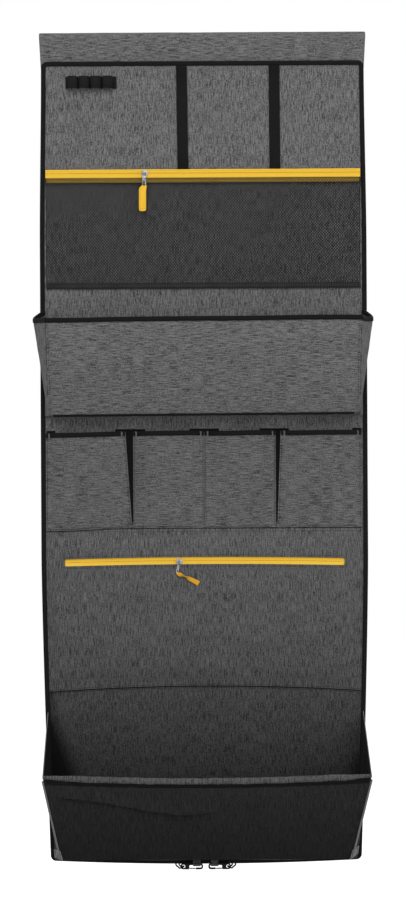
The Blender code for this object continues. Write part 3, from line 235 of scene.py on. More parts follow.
def bevel_along(obj: Thing, axis: int, offset: float, segments: int = 3) -> None:
    """Rounds the edges that run along one axis.

    Args:
        obj: The piece.
        axis: 0, 1 or 2 for X, Y or Z.
        offset: Width of the rounding.
        segments: Faces across it.
    """
    bevel_edges(obj, lambda _, line: abs(line[axis]) > ALIGNED, offset, segments)


def cut(obj: Thing, tools: Sequence[Thing], join: bool = False) -> None:
    """Cuts tools out of a piece, or joins them to it, and removes them.

    Args:
        obj: The piece.
        tools: What is cut away or joined.
        join: True to join.
    """
    for tool in tools:
        modify(obj, "BOOLEAN", object=tool, operation="UNION" if join else "DIFFERENCE", solver="EXACT")
        bpy.data.objects.remove(tool, do_unlink=True)


def soften(obj: Thing, width: float, segments: int = 2, angle: float = 30) -> None:
    """Rounds every edge sharper than an angle, in degrees."""
    modify(obj, "BEVEL", width=width, segments=segments, limit_method="ANGLE", angle_limit=math.radians(angle),
        harden_normals=False)


def lay_cloth(name: str, across: int, down: int, place: Place) -> Thing:
    """Makes a sheet from a flat grid whose points are moved to where the cloth lies.

    Its UV map holds metres of the flat cut.

    Args:
        name: The piece's name.
        across: Faces across.
        down: Faces down.
        place: Takes u (0 left, 1 right) and v (0 top, 1 foot), and returns the point.

    Returns:
        The new object, one layer thick.
    """
    bpy.ops.object.select_all(action="DESELECT")
    bpy.ops.mesh.primitive_grid_add(x_subdivisions=across, y_subdivisions=down, size=1)
    obj = bpy.context.object
    obj.name = obj.data.name = name
    mesh = obj.data
    flat = [(point.co.x + 0.5, 0.5 - point.co.y) for point in mesh.vertices]
    for point, (u, v) in zip(mesh.vertices, flat):
        point.co = place(u, v)
    width, length = cloth_size(place, across, down)
    layer = mesh.uv_layers.active or mesh.uv_layers.new(name="cut")
    for loop in mesh.loops:
        u, v = flat[loop.vertex_index]
        layer.data[loop.index].uv = (u * width, (1 - v) * length)
    mesh.update()
    return obj


def cloth_size(place: Place, across: int, down: int) -> tuple[float, float]:
    """Returns the flat width and length of a cloth, measured along its surface.

    Args:
        place: Where the cloth lies, by u and v.
        across: Steps across.
        down: Steps down.

    Returns:
        The width and the length, in metres.
    """
    rows = [[Vector(place(u, v)) for u in steps(across)] for v in (0, 0.25, 0.5, 0.75, 1)]
    columns = [[Vector(place(u, v)) for v in steps(down)] for u in (0, 0.25, 0.5, 0.75, 1)]
    width, length = (max(sum((b - a).length for a, b in zip(line, line[1:])) for line in lines)
        for lines in (rows, columns))
    return width, length


def declare_cloth(place: Place) -> None:
    """Works out a cloth's flat width and length, each at least 10.2 mm with its turned edges, and keeps neither.

    Args:
        place: Where it lies, by u and v.
    """
    width, length = (max(side, 0.0102) for side in cloth_size(place, 60, 60))


def thicken(obj: Thing, wall: float) -> None:
    """Gives a sheet its wall, behind its outer surface."""
    modify(obj, "SOLIDIFY", thickness=wall, offset=-1, use_even_offset=False)


def add_mesh(name: str, points: Sequence[Sequence[float]], faces: Sequence[tuple[int, ...]],
        marks: Sequence[Sequence[tuple[float, float]]] = ()) -> Thing:
    """Adds a closed piece from its points and faces, all turned outwards.

    Args:
        name: The piece's name.
        points: Its points.
        faces: The numbers of each face's points.
        marks: Where each face's corners lie on the flat cut, in metres.

    Returns:
        The new object.
    """
    mesh = bpy.data.meshes.new(name)
    mesh.from_pydata([tuple(point) for point in points], [], faces)
    if marks:
        layer = mesh.uv_layers.new(name="cut")
        for face, spots in zip(mesh.polygons, marks):
            for loop, spot in zip(face.loop_indices, spots):
                layer.data[loop].uv = spot
    obj = bpy.data.objects.new(name, mesh)
    bpy.context.collection.objects.link(obj)
    pick(obj)
    bpy.ops.object.mode_set(mode="EDIT")
    bpy.ops.mesh.select_all(action="SELECT")
    bpy.ops.mesh.normals_make_consistent(inside=False)
    bpy.ops.object.mode_set(mode="OBJECT")
    return obj


def ring_faces(start: int, rings: int, count: int, closed: bool = False) -> list[tuple[int, ...]]:
    """Returns the faces over rings of points.

    Args:
        start: Number of the first point.
        rings: How many rings there are.
        count: Points in each ring.
        closed: True if the last ring joins the first. Otherwise a face closes each end.

    Returns:
        The numbers of each face's points.
    """
    faces: list[tuple[int, ...]] = []
    for row in range(rings if closed else rings - 1):
        low, high = start + row * count, start + (row + 1) % rings * count
        faces += [(low + n, low + (n + 1) % count, high + (n + 1) % count, high + n) for n in range(count)]
    if not closed:
        last = start + (rings - 1) * count
        faces += [tuple(start + n for n in reversed(range(count))), tuple(last + n for n in range(count))]
    return faces


def skin(name: str, rings: Sequence[Sequence[Vector]], closed: bool = False) -> Thing:
    """Makes a skin over rings with as many points each, such as a tape, a roll or a thread.

    Its UV map holds metres: across the ring, and along the piece.

    Args:
        name: The piece's name.
        rings: The rings in order along the piece.
        closed: True if the last ring joins the first.

    Returns:
        The new object.
    """
    count = len(rings[0])
    around = [0.0]
    for n in range(count):
        around.append(around[-1] + (rings[0][(n + 1) % count] - rings[0][n]).length)
    marks: list[list[tuple[float, float]]] = []
    along = 0.0
    for row in range(len(rings) if closed else len(rings) - 1):
        end = along + (rings[(row + 1) % len(rings)][0] - rings[row][0]).length
        marks += [[(left, along), (right, along), (right, end), (left, end)]
            for left, right in zip(around, around[1:])]
        along = end
    if not closed:
        marks += [[(0.0, 0.0)] * count] * 2
    points = [point for ring in rings for point in ring]
    return add_mesh(name, points, ring_faces(0, len(rings), count, closed), marks)


def tube(name: str, line: Sequence[Vector], radius: float, sides: int = 8, flatten: float = 1.0,
        closed: bool = False) -> Thing:
    """Makes a round or flattened roll along a line.

    Args:
        name: The piece's name.
        line: Its middle points.
        radius: Half its width.
        sides: Faces around it.
        flatten: Its thickness out of the panel as a share of its width.
        closed: True if it runs into its own start.

    Returns:
        The new object.
    """
    rings = []
    for n, spot in enumerate(line):
        before = line[n - 1] if closed or n else line[0]
        after = line[(n + 1) % len(line)] if closed or n + 1 < len(line) else line[-1]
        run = (after - before).normalized()
        side = run.cross(Vector((0, 1, 0)))
        side = side.normalized() if side.length > 0.05 else Vector((1, 0, 0))
        out = side.cross(run).normalized()
        rings.append([spot + side * radius * math.cos(turn) + out * radius * flatten * math.sin(turn)
            for turn in (2 * math.pi * k / sides for k in range(sides))])
    return skin(name, rings, closed)


def even(line: Sequence[Vector], spacing: float) -> list[Vector]:
    """Returns points at an even spacing along a line.

    Args:
        line: The line's points.
        spacing: Metres between two points.

    Returns:
        The points.
    """
    out, left = [line[0].copy()], spacing
    for a, b in zip(line, line[1:]):
        length, done = (b - a).length, 0.0
        while length - done >= left:
            done += left
            out.append(a.lerp(b, done / length))
            left = spacing
        left -= length - done
    return out


def smooth(route: Sequence[Vector], between: int) -> list[Vector]:
    """Returns points along a smooth curve through a route's own points.

    Args:
        route: The points that the curve meets.
        between: Points from one of them to the next.

    Returns:
        The curve's points.
    """
    points = []
    for n in range(len(route) - 1):
        before, after = route[max(n - 1, 0)], route[min(n + 2, len(route) - 1)]
        start, end = route[n], route[n + 1]
        for k in range(between):
            t = k / between
            points.append(0.5 * (2 * start + (end - before) * t + (2 * before - 5 * start + 4 * end - after) * t ** 2
                + (3 * start - before - 3 * end + after) * t ** 3))
    return points + [route[-1].copy()]


@dataclass(frozen=True)
class Thread:
    """A sewing thread, and how its stitches lie on the cloth."""

    pitch: float = 0.0034
    length: float = 0.0026
    radius: float = 0.00028
    sides: int = 5

    def sew(self, name: str, lines: Sequence[Sequence[Vector]], out: Vector = OUTWARDS) -> Thing:
        """Sews rows of stitches as one piece.

        Args:
            name: The piece's name.
            lines: The rows, each a line on the cloth's surface.
            out: The way out of the cloth.

        Returns:
            The new object.
        """
        points: list[Vector] = []
        faces: list[tuple[int, ...]] = []
        for line in lines:
            spots = even(line, self.pitch)
            for a, b in zip(spots, spots[1:]):
                run = (b - a).normalized()
                side = run.cross(out).normalized()
                start = len(points)
                for along, size, lift in ((0.0, 0.25, 0.0), (0.25, 1.0, 0.9), (0.75, 1.0, 0.9), (1.0, 0.25, 0.0)):
                    middle = a + run * self.length * along + out * self.radius * lift
                    for k in range(self.sides):
                        turn = 2 * math.pi * k / self.sides
                        points.append(middle + (side * math.cos(turn) + out * math.sin(turn)) * self.radius * size)
                faces += ring_faces(start, 4, self.sides)
        return add_mesh(name, points, faces)

    def bar_tack(self, name: str, spots: Sequence[tuple[Vector, Vector]]) -> Thing:
        """Sews dense bars of stitches, each given by its middle and its half length as a vector.

        Args:
            name: The piece's name.
            spots: Each bar's middle and half length.

        Returns:
            The new object.
        """
        lines = []
        for middle, half in spots:
            side = half.cross(OUTWARDS).normalized() * 0.0011
            count = max(int(half.length * 2 / 0.0005), 3)
            line = [middle + half * (2 * n / count - 1) + side * (1 if n % 2 else -1) for n in range(count + 1)]
            lines.append(line)
        return Thread(pitch=0.0022, length=0.0022, radius=self.radius).sew(name, lines)


# ---- finishes


class Nodes:
    """Lays the nodes of one material, or of the world, in a few words."""

    def __init__(self, owner: bpy.types.Material | bpy.types.World) -> None:
        """Starts at the owner's shader.

        Args:
            owner: A new material, or the world.
        """
        owner.use_nodes = True
        self.owner = owner
        self.tree = owner.node_tree
        self.shader = self.tree.nodes["Background" if isinstance(owner, bpy.types.World) else "Principled BSDF"]

    def add(self, kind: str, **settings: object) -> bpy.types.Node:
        """Adds a node with some of its settings.

        Args:
            kind: The node's type.
            **settings: Its settings by name.

        Returns:
            The node.
        """
        node = self.tree.nodes.new(kind)
        for name, value in settings.items():
            setattr(node, name, value)
        return node

    def feed(self, socket: Socket, value: object) -> None:
        """Links a socket to another one, or sets its value.

        Args:
            socket: The input.
            value: An output, a number or a colour.
        """
        if isinstance(value, Socket):
            self.tree.links.new(value, socket)
        else:
            socket.default_value = value

    def coords(self, source: Source, scale: Sequence[float] = (1, 1, 1)) -> Socket:
        """Returns coordinates on the flat cut or on the object, stretched.

        Args:
            source: What the pattern is laid on.
            scale: How often it repeats each way.

        Returns:
            The coordinates.
        """
        start = self.add("ShaderNodeTexCoord").outputs[source.value]
        mapping = self.add("ShaderNodeMapping")
        self.feed(mapping.inputs["Vector"], start)
        mapping.inputs["Scale"].default_value = scale
        return mapping.outputs["Vector"]

    def along(self, axis: str) -> Socket:
        """Returns the place on the object along X or Z.

        Args:
            axis: X or Z.

        Returns:
            The place, in metres.
        """
        split = self.add("ShaderNodeSeparateXYZ")
        self.feed(split.inputs[0], self.coords(Source.PLACE))
        return split.outputs[axis]

    def sum(self, operation: str, *values: object) -> Socket:
        """Returns a math node's result.

        Args:
            operation: The math node's operation.
            *values: Its inputs.

        Returns:
            Its output.
        """
        node = self.add("ShaderNodeMath", operation=operation)
        for socket, value in zip(node.inputs, values):
            self.feed(socket, value)
        return node.outputs[0]

    def noise(self, vector: Socket, scale: float, detail: float = 3.0, roughness: float = 0.6) -> Socket:
        """Returns a noise over coordinates.

        Args:
            vector: The coordinates.
            scale: Swells in a metre.
            detail: Finer layers.
            roughness: Weight of the finer layers.

        Returns:
            The noise from 0 to 1.
        """
        node = self.add("ShaderNodeTexNoise")
        self.feed(node.inputs["Vector"], vector)
        node.inputs["Scale"].default_value = scale
        node.inputs["Detail"].default_value = detail
        node.inputs["Roughness"].default_value = roughness
        return node.outputs[0]

    def bands(self, vector: Socket, pitch: float, direction: str, distortion: float = 0.0) -> Socket:
        """Returns bands that repeat every pitch metres along X, Y, Z or the diagonal.

        Args:
            vector: The coordinates.
            pitch: Metres from band to band.
            direction: X, Y, Z or DIAGONAL.
            distortion: How much they waver.

        Returns:
            The bands from 0 to 1.
        """
        node = self.add("ShaderNodeTexWave", wave_type="BANDS", bands_direction=direction)
        self.feed(node.inputs["Vector"], vector)
        node.inputs["Scale"].default_value = math.pi / 10 / pitch
        node.inputs["Distortion"].default_value = distortion
        return node.outputs["Fac"]

    def weigh(self, *parts: tuple[Socket, float]) -> Socket:
        """Returns the sum of some values, each times its weight.

        Args:
            *parts: Each value with its weight.

        Returns:
            The sum.
        """
        total = None
        for value, weight in parts:
            part = self.sum("MULTIPLY", value, weight)
            total = part if total is None else self.sum("ADD", total, part)
        return total

    def remap(self, value: Socket, low: float, high: float, to_low: float = 0.0, to_high: float = 1.0) -> Socket:
        """Returns a value carried from one range to another, held at its ends.

        Args:
            value: The value.
            low: Start of its range.
            high: End of its range.
            to_low: Start of the other range.
            to_high: End of the other range.

        Returns:
            The value in the other range.
        """
        node = self.add("ShaderNodeMapRange")
        for socket, number in zip(node.inputs, (value, low, high, to_low, to_high)):
            self.feed(socket, number)
        return node.outputs[0]

    def blend(self, share: object, first: object, second: object) -> Socket:
        """Returns a colour between two, by share.

        Args:
            share: 0 for the first colour, 1 for the second.
            first: A colour.
            second: Another colour.

        Returns:
            The colour.
        """
        node = self.add("ShaderNodeMix", data_type="RGBA")
        for socket, value in zip((node.inputs[0], node.inputs[6], node.inputs[7]), (share, first, second)):
            self.feed(socket, (*value, 1) if isinstance(value, tuple) else value)
        return node.outputs[2]

    def tint(self, value: Socket, low: float, high: float, colour: Colour, dark: float, light: float) -> Socket:
        """Returns a colour that goes from dark to light times itself as a value goes from low to high."""
        return self.blend(self.remap(value, low, high), shade(colour, dark), shade(colour, light))

    def shown(self) -> Socket:
        """Returns 1 for a ray from the camera, or one that metal or glass sends on, and 0 for others.

        Returns:
            The ray's 1 or 0.
        """
        path = self.add("ShaderNodeLightPath")
        seen = self.sum("MAXIMUM", path.outputs["Is Camera Ray"], path.outputs["Is Glossy Ray"])
        return self.sum("MAXIMUM", seen, path.outputs["Is Transmission Ray"])

    def bump(self, height: Socket, distance: float, strength: float = 1.0) -> None:
        """Raises the surface by a height of 0 to 1 times distance.

        Args:
            height: The height.
            distance: Metres from 0 to 1.
            strength: Share of the effect.
        """
        node = self.add("ShaderNodeBump")
        node.inputs["Distance"].default_value = distance
        node.inputs["Strength"].default_value = strength
        self.feed(node.inputs["Height"], height)
        self.feed(self.shader.inputs["Normal"], node.outputs["Normal"])

    def settle(self, colour: Socket, roughness: object, **constants: object) -> bpy.types.Material:
        """Sets the shader's colour, roughness and constants, and returns the material.

        Args:
            colour: The base colour.
            roughness: The roughness.
            **constants: Other values of the shader, by name.

        Returns:
            The material.
        """
        self.feed(self.shader.inputs["Base Color"], colour)
        self.feed(self.shader.inputs["Roughness"], roughness)
        for name, value in constants.items():
            self.shader.inputs[name.replace("_", " ").title().replace("Ior", "IOR")].default_value = value
        return self.owner


def shade(colour: Colour, factor: float) -> Colour:
    """Returns a colour made lighter or darker."""
    return tuple(min(c * factor, 1.0) for c in colour)


@dataclass(frozen=True)
class Cloth:
    """Woven polyester with a heathered thread, which shows more along its grain. It can darken downwards, and towards
    both sides near the foot, as painted shade.
    """

    name: str
    slot: str
    colour: Colour
    grain: Run = Run.DOWN
    source: Source = Source.PLACE
    contrast: float = 0.64
    pitch: float = 0.0009
    fleck: float = 780.0
    cloud: float = 26.0
    relief: float = 0.00016
    roughness: float = 0.9
    sheen: float = 0.02
    # Painted shade: the darker colour that the cloth reaches downwards, and the heights where this starts and ends.
    shade_to: Colour | None = None
    shade_from_z: float = 0.0
    shade_foot_z: float = 0.0
    # Painted shade: where and how much the cloth darkens towards its sides near the foot.
    corners: float = 0.0
    shade_corner_middle: float = 0.0115
    shade_corner_slant: float = 0.038
    shade_corner_reach: float = 0.024
    shade_corner_depth: float = 0.94
    shade_corner_tone: float = 0.07

    def make(self) -> bpy.types.Material:
        """Makes the material.

        Returns:
            The new material.
        """
        nodes = Nodes(bpy.data.materials.new(self.name))
        up = "Y" if self.source is Source.CUT else "Z"
        wide, tall = self.grain.value
        stretch = (1 / wide, 1 / tall, 1) if self.source is Source.CUT else (1 / wide, 1, 1 / tall)
        grain = nodes.noise(nodes.coords(self.source, stretch), 1.0, 2.0, 0.7)
        plain = nodes.coords(self.source)
        fleck = nodes.noise(plain, self.fleck, 1.0, 0.6)
        cloud = nodes.noise(plain, self.cloud, 3.0, 0.55)
        warp, weft = nodes.bands(plain, self.pitch, "X"), nodes.bands(plain, self.pitch, up)
        weave = nodes.sum("MULTIPLY", warp, weft)
        share = nodes.remap(nodes.weigh((grain, 0.62), (fleck, 0.33), (cloud, 0.05)), 0.425, 0.55)
        low, high = shade(self.colour, 1 - self.contrast), shade(self.colour, 1 + self.contrast)
        # Painted shade: the colour darkens downwards between two heights.
        if self.shade_to:
            fall = nodes.remap(nodes.along("Z"), self.shade_from_z, self.shade_foot_z)
            low = nodes.blend(fall, low, shade(self.shade_to, 1 - self.contrast))
            high = nodes.blend(fall, high, shade(self.shade_to, 1 + self.contrast))
        base = nodes.blend(share, low, high)
        # Painted shade: darker towards both sides near the foot, where the bin's corners keep the light off.
        if self.corners:
            side = nodes.sum("ABSOLUTE", nodes.sum("SUBTRACT", nodes.along("X"), self.shade_corner_middle))
            deep = nodes.remap(nodes.along("Z"), self.shade_from_z - 0.02, self.shade_foot_z)
            side = nodes.sum("ADD", side, nodes.sum("MULTIPLY", deep, self.shade_corner_slant))
            share = nodes.remap(side, self.corners, self.corners + self.shade_corner_reach, 0.0, self.shade_corner_depth)
            base = nodes.blend(share, base, shade(self.colour, self.shade_corner_tone))
        rough = nodes.remap(weave, 0.0, 1.0, self.roughness, self.roughness - 0.12)
        nodes.bump(nodes.weigh((weave, 0.6), (grain, 0.7)), self.relief * 2, 0.8)
        return nodes.settle(base, rough, sheen_weight=self.sheen, sheen_roughness=0.5, specular_ior_level=0.07)


@dataclass(frozen=True)
class Ribbed:
    """Narrow woven tape such as binding, webbing and elastic, with ribs and a twill."""

    name: str
    slot: str
    colour: Colour
    source: Source = Source.CUT
    rib: float = 0.0012
    rib_direction: str = "Y"
    twill: float = 0.0016
    relief: float = 0.00022
    contrast: float = 0.45
    roughness: float = 0.72
    sheen: float = 0.01

    def make(self) -> bpy.types.Material:
        """Makes the material.

        Returns:
            The new material.
        """
        nodes = Nodes(bpy.data.materials.new(self.name))
        plain = nodes.coords(self.source)
        ribs = nodes.bands(plain, self.rib, self.rib_direction, 0.4)
        twill = nodes.bands(plain, self.twill, "DIAGONAL", 0.3)
        fleck = nodes.noise(plain, 700.0, 2.0, 0.7)
        cloud = nodes.noise(plain, 45.0, 2.0)
        height = nodes.weigh((ribs, 0.65), (twill, 0.35))
        tone = nodes.weigh((height, 0.4), (fleck, 0.4), (cloud, 0.3))
        colour = nodes.tint(tone, 0.25, 0.85, self.colour, 1 - self.contrast, 1 + self.contrast)
        nodes.bump(height, self.relief, 0.9)
        return nodes.settle(colour, nodes.remap(height, 0, 1, self.roughness + 0.12, self.roughness - 0.08),
            sheen_weight=self.sheen, sheen_roughness=0.45, specular_ior_level=0.06)


@dataclass(frozen=True)
class ZipTape:
    """Yellow zip tape in herringbone, darker towards its coil with the painted shade of the groove."""

    name: str
    slot: str
    edge: Colour
    shaded_groove: Colour
    middle_z: float
    reach: float = 0.0055

    def make(self) -> bpy.types.Material:
        """Makes the material.

        Returns:
            The new material.
        """
        nodes = Nodes(bpy.data.materials.new(self.name))
        plain = nodes.coords(Source.PLACE)
        away = nodes.sum("ABSOLUTE", nodes.sum("SUBTRACT", nodes.along("Z"), self.middle_z))
        share = nodes.remap(away, self.reach * 0.25, self.reach)
        twill = nodes.bands(plain, 0.0012, "DIAGONAL", 0.2)
        ribs = nodes.bands(plain, 0.0008, "Z")
        fleck = nodes.noise(plain, 800.0, 2.0)
        height = nodes.weigh((twill, 0.5), (ribs, 0.5))
        tone = nodes.remap(nodes.weigh((height, 0.5), (fleck, 0.5)), 0.2, 0.8)
        # Painted shade: the groove along the coil is darker than the tape's edges.
        colour = nodes.blend(tone, nodes.blend(share, shade(self.shaded_groove, 0.82), shade(self.edge, 0.84)),
            nodes.blend(share, shade(self.shaded_groove, 1.1), shade(self.edge, 1.08)))
        nodes.bump(height, 0.00016, 0.8)
        return nodes.settle(colour, nodes.remap(tone, 0, 1, 0.85, 0.68), sheen_weight=0.05, specular_ior_level=0.12)


@dataclass(frozen=True)
class Moulded:
    """Moulded plastic with a faint grain, from coil to hook."""

    name: str
    slot: str
    colour: Colour
    roughness: float = 0.38
    relief: float = 0.00005
    grain: float = 1400.0
    wear: float = 0.25

    def make(self) -> bpy.types.Material:
        """Makes the material.

        Returns:
            The new material.
        """
        nodes = Nodes(bpy.data.materials.new(self.name))
        plain = nodes.coords(Source.PLACE)
        fine, cloud = nodes.noise(plain, self.grain, 2.0), nodes.noise(plain, 160.0, 3.0)
        colour = nodes.tint(cloud, 0.3, 0.7, self.colour, 1 - self.wear, 1 + self.wear)
        nodes.bump(fine, self.relief, 0.6)
        return nodes.settle(colour, nodes.remap(fine, 0.3, 0.7, self.roughness - 0.06, self.roughness + 0.1),
            specular_ior_level=0.15)


@dataclass(frozen=True)
class Plated:
    """Bright plated metal with fine rubbing marks."""

    name: str
    slot: str
    colour: Colour
    roughness: float = 0.30

    def make(self) -> bpy.types.Material:
        """Makes the material.

        Returns:
            The new material.
        """
        nodes = Nodes(bpy.data.materials.new(self.name))
        rub = nodes.noise(nodes.coords(Source.PLACE, (1, 1, 0.2)), 900.0, 3.0)
        cloud = nodes.noise(nodes.coords(Source.PLACE), 220.0, 2.0)
        colour = nodes.tint(cloud, 0.3, 0.7, self.colour, 0.3, 1.6)
        nodes.bump(rub, 0.00003, 0.5)
        return nodes.settle(colour, nodes.remap(rub, 0.3, 0.7, self.roughness - 0.07, self.roughness + 0.12),
            metallic=1.0)


@dataclass(frozen=True)
class Yarn:
    """Twisted thread, for stitches, net and cord."""

    name: str
    slot: str
    colour: Colour
    twist: float = 0.0009
    roughness: float = 0.75
    contrast: float = 0.3

    def make(self) -> bpy.types.Material:
        """Makes the material.

        Returns:
            The new material.
        """
        nodes = Nodes(bpy.data.materials.new(self.name))
        plain = nodes.coords(Source.PLACE)
        strands = nodes.bands(plain, self.twist, "DIAGONAL", 0.6)
        fleck = nodes.noise(plain, 500.0, 2.0)
        tone = nodes.weigh((strands, 0.5), (fleck, 0.5))
        colour = nodes.tint(tone, 0.25, 0.8, self.colour, 1 - self.contrast, 1 + self.contrast)
        nodes.bump(strands, 0.00012, 0.7)
        return nodes.settle(colour, nodes.remap(fleck, 0.3, 0.7, self.roughness - 0.08, self.roughness + 0.1),
            sheen_weight=0.01, specular_ior_level=0.06)


@dataclass(frozen=True)
class Felted:
    """Pressed board or brushed closure tape: matt fibres without a weave."""

    name: str
    slot: str
    colour: Colour
    fibre: float = 650.0
    relief: float = 0.0003

    def make(self) -> bpy.types.Material:
        """Makes the material.

        Returns:
            The new material.
        """
        nodes = Nodes(bpy.data.materials.new(self.name))
        plain = nodes.coords(Source.PLACE)
        fibres, cloud = nodes.noise(plain, self.fibre, 4.0, 0.75), nodes.noise(plain, 60.0, 3.0)
        colour = nodes.tint(nodes.weigh((fibres, 0.6), (cloud, 0.4)), 0.3, 0.7, self.colour, 0.65, 1.35)
        nodes.bump(fibres, self.relief, 0.8)
        return nodes.settle(colour, nodes.remap(fibres, 0.3, 0.7, 0.9, 1.0), sheen_weight=0.3,
            specular_ior_level=0.15)


Finish = Cloth | Ribbed | ZipTape | Moulded | Plated | Yarn | Felted


class Sewn:
    """A sub-assembly that dresses its own pieces. Each finish is made once for all of them."""

    made: ClassVar[dict[str, bpy.types.Material]] = {}

    def material(self, finish: Finish) -> bpy.types.Material:
        """Returns a finish's material, and makes it the first time.

        Args:
            finish: The finish.

        Returns:
            Its material.
        """
        if finish.name not in self.made:
            self.made[finish.name] = finish.make()
        return self.made[finish.name]

    def dress(self, obj: Thing, finish: Finish, node: str = "", body: str = "panel", slot: str | None = None,
            angle: float = 40) -> Thing:
        """Gives a new piece its finish, smooth shading and body, and hides the CAD node that it stands for.

        Args:
            obj: The piece.
            finish: Its finish.
            node: The CAD node that it replaces, if any.
            body: The body that it moves with, or none where it is blended between two.
            slot: The record's slot, if it isn't the finish's own. It is not used.
            angle: Edges sharper than this, in degrees, stay sharp.

        Returns:
            The piece.
        """
        obj.data.materials.clear()
        obj.data.materials.append(self.material(finish))
        pick(obj)
        bpy.ops.object.shade_smooth_by_angle(angle=math.radians(angle))
        if body:
            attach(obj, body)
        if node:
            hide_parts(node)
        slot or finish.slot
        return obj

    def cloth(self, name: str, faces: tuple[int, int], place: Place, finish: Finish, node: str = "", held: str = "",
            body: str = "panel", wall: float = CLOTH, rim: tuple[float, int] | None = None,
            angle: float = 60) -> Thing:
        """Args:
            name: The piece's name.
            faces: Faces across and down.
            place: Where its points lie, by u and v.
            finish: Its finish.
            node: The CAD node that it replaces, if any.
            held: How a cloth is held. A tape has none.
            body: The body that it moves with, or none where it is blended between two.
            wall: Its thickness.
            rim: Width of its rounded rim and faces across it.
            angle: Edges sharper than this, in degrees, stay sharp.

        Returns:
            The new object.
        """
        obj = lay_cloth(name, *faces, place)
        thicken(obj, wall)
        if rim:
            soften(obj, *rim, 60)
        self.dress(obj, finish, node, body, angle=angle)
        if held:
            declare_cloth(place)
        return obj

    def keep(self, node: str, finish: Finish) -> None:
        """Gives a CAD node that stays its finish.

        Args:
            node: The CAD node's name.
            finish: Its finish.
        """
        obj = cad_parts[node]
        for slot in obj.material_slots:
            slot.material = self.material(finish)


# Painted shade: the panel cloth darkens downwards over the height of the pocket row.
PANEL = Cloth("gray panel cloth", "panel_cloth", (0.110, 0.110, 0.111), shade_to=(0.098, 0.094, 0.095),
    shade_from_z=-0.56, shade_foot_z=-0.67)
# Painted shade: the lower cloth is a darker copy of the panel cloth, and darkens further towards the bin.
LOWER = Cloth("gray lower cloth", "panel_cloth", (0.088, 0.088, 0.089), shade_to=(0.062, 0.062, 0.063),
    shade_from_z=-0.67, shade_foot_z=-0.90)
# Painted shade: the dark panel cloth darkens further towards the foot, and towards its sides behind the bin's
# corners.
BOTTOM = Cloth("dark panel cloth", "dark_panel_cloth", (0.050, 0.050, 0.051), shade_to=(0.031, 0.031, 0.032),
    shade_from_z=-0.89, shade_foot_z=-1.01, corners=0.2120)
SLEEVE = Cloth("gray sleeve cloth", "sleeve_cloth", (0.106, 0.106, 0.107), grain=Run.ALONG)
SLEEVE_BACK = Cloth("gray flap cloth", "sleeve_cloth", (0.112, 0.112, 0.113), grain=Run.ALONG)
# Painted shade: the shelf's cloth darkens towards the shelf's foot.
SHELF = Cloth("gray shelf cloth", "pocket_cloth", (0.121, 0.121, 0.122), grain=Run.ALONG,
    shade_to=(0.106, 0.106, 0.107), shade_from_z=-0.39, shade_foot_z=-0.50)
GUSSET = Cloth("gray gusset cloth", "pocket_cloth", (0.118, 0.118, 0.119), source=Source.CUT)
POCKET = Cloth("gray pocket cloth", "pocket_cloth", (0.097, 0.097, 0.098), grain=Run.ALONG)
# Painted shade: the pleat cloth is black for the shadow inside the fold.
SHADED_PLEAT = Cloth("black pleat cloth", "pleat_cloth", (0.004, 0.004, 0.004), source=Source.CUT, contrast=0.2)
LINING = Cloth("black lining", "lining", (0.016, 0.016, 0.017), pitch=0.0007, contrast=0.3)
BAG = Cloth("black bag cloth", "lining", (0.010, 0.010, 0.010), pitch=0.0007, contrast=0.3)
# Painted shade: the bin's front darkens towards its foot.
BIN = Cloth("black bin cloth", "bin_cloth", (0.0165, 0.0165, 0.0172), contrast=0.5, roughness=0.8,
    shade_to=(0.0085, 0.0085, 0.0090), shade_from_z=-1.00, shade_foot_z=-1.10)
# Painted shade: a darker copy of the bin cloth, for the gussets, the floor and the strip under the hem, where shade
# falls.
SHADED_BIN_SIDE = Cloth("black bin side cloth", "bin_cloth", (0.0050, 0.0050, 0.0052), source=Source.CUT, contrast=0.4)
HEM = Cloth("gray rolled hem", "hem_cloth", (0.070, 0.070, 0.071))
PATCH = Cloth("gray corner patch", "hem_cloth", (0.170, 0.170, 0.172), contrast=0.4)
PARKING = Cloth("gray parking tab cloth", "panel_cloth", (0.075, 0.075, 0.076), grain=Run.ALONG)
BINDING = Ribbed("black binding", "binding", (0.0078, 0.0078, 0.0082))
POCKET_BINDING = Ribbed("black pocket binding", "binding", (0.0072, 0.0072, 0.0078))
NET_HEM = Ribbed("black net hem", "binding", (0.026, 0.026, 0.027), source=Source.PLACE, rib=0.0031,
    rib_direction="X", contrast=0.85)
WEB = Ribbed("black webbing", "webbing", (0.0078, 0.0078, 0.0082), source=Source.PLACE, rib=0.0016, rib_direction="Z",
    twill=0.0021)
ELASTIC_BAND = Ribbed("black elastic", "webbing", (0.0105, 0.0105, 0.0108), source=Source.PLACE, rib=0.0019,
    rib_direction="Z", twill=0.0011)
CLOSURE = Felted("closure tape", "closure_tape", (0.018, 0.018, 0.018))
BOARD_FELT = Felted("stiffening board", "board", (0.22, 0.215, 0.20), fibre=300.0)
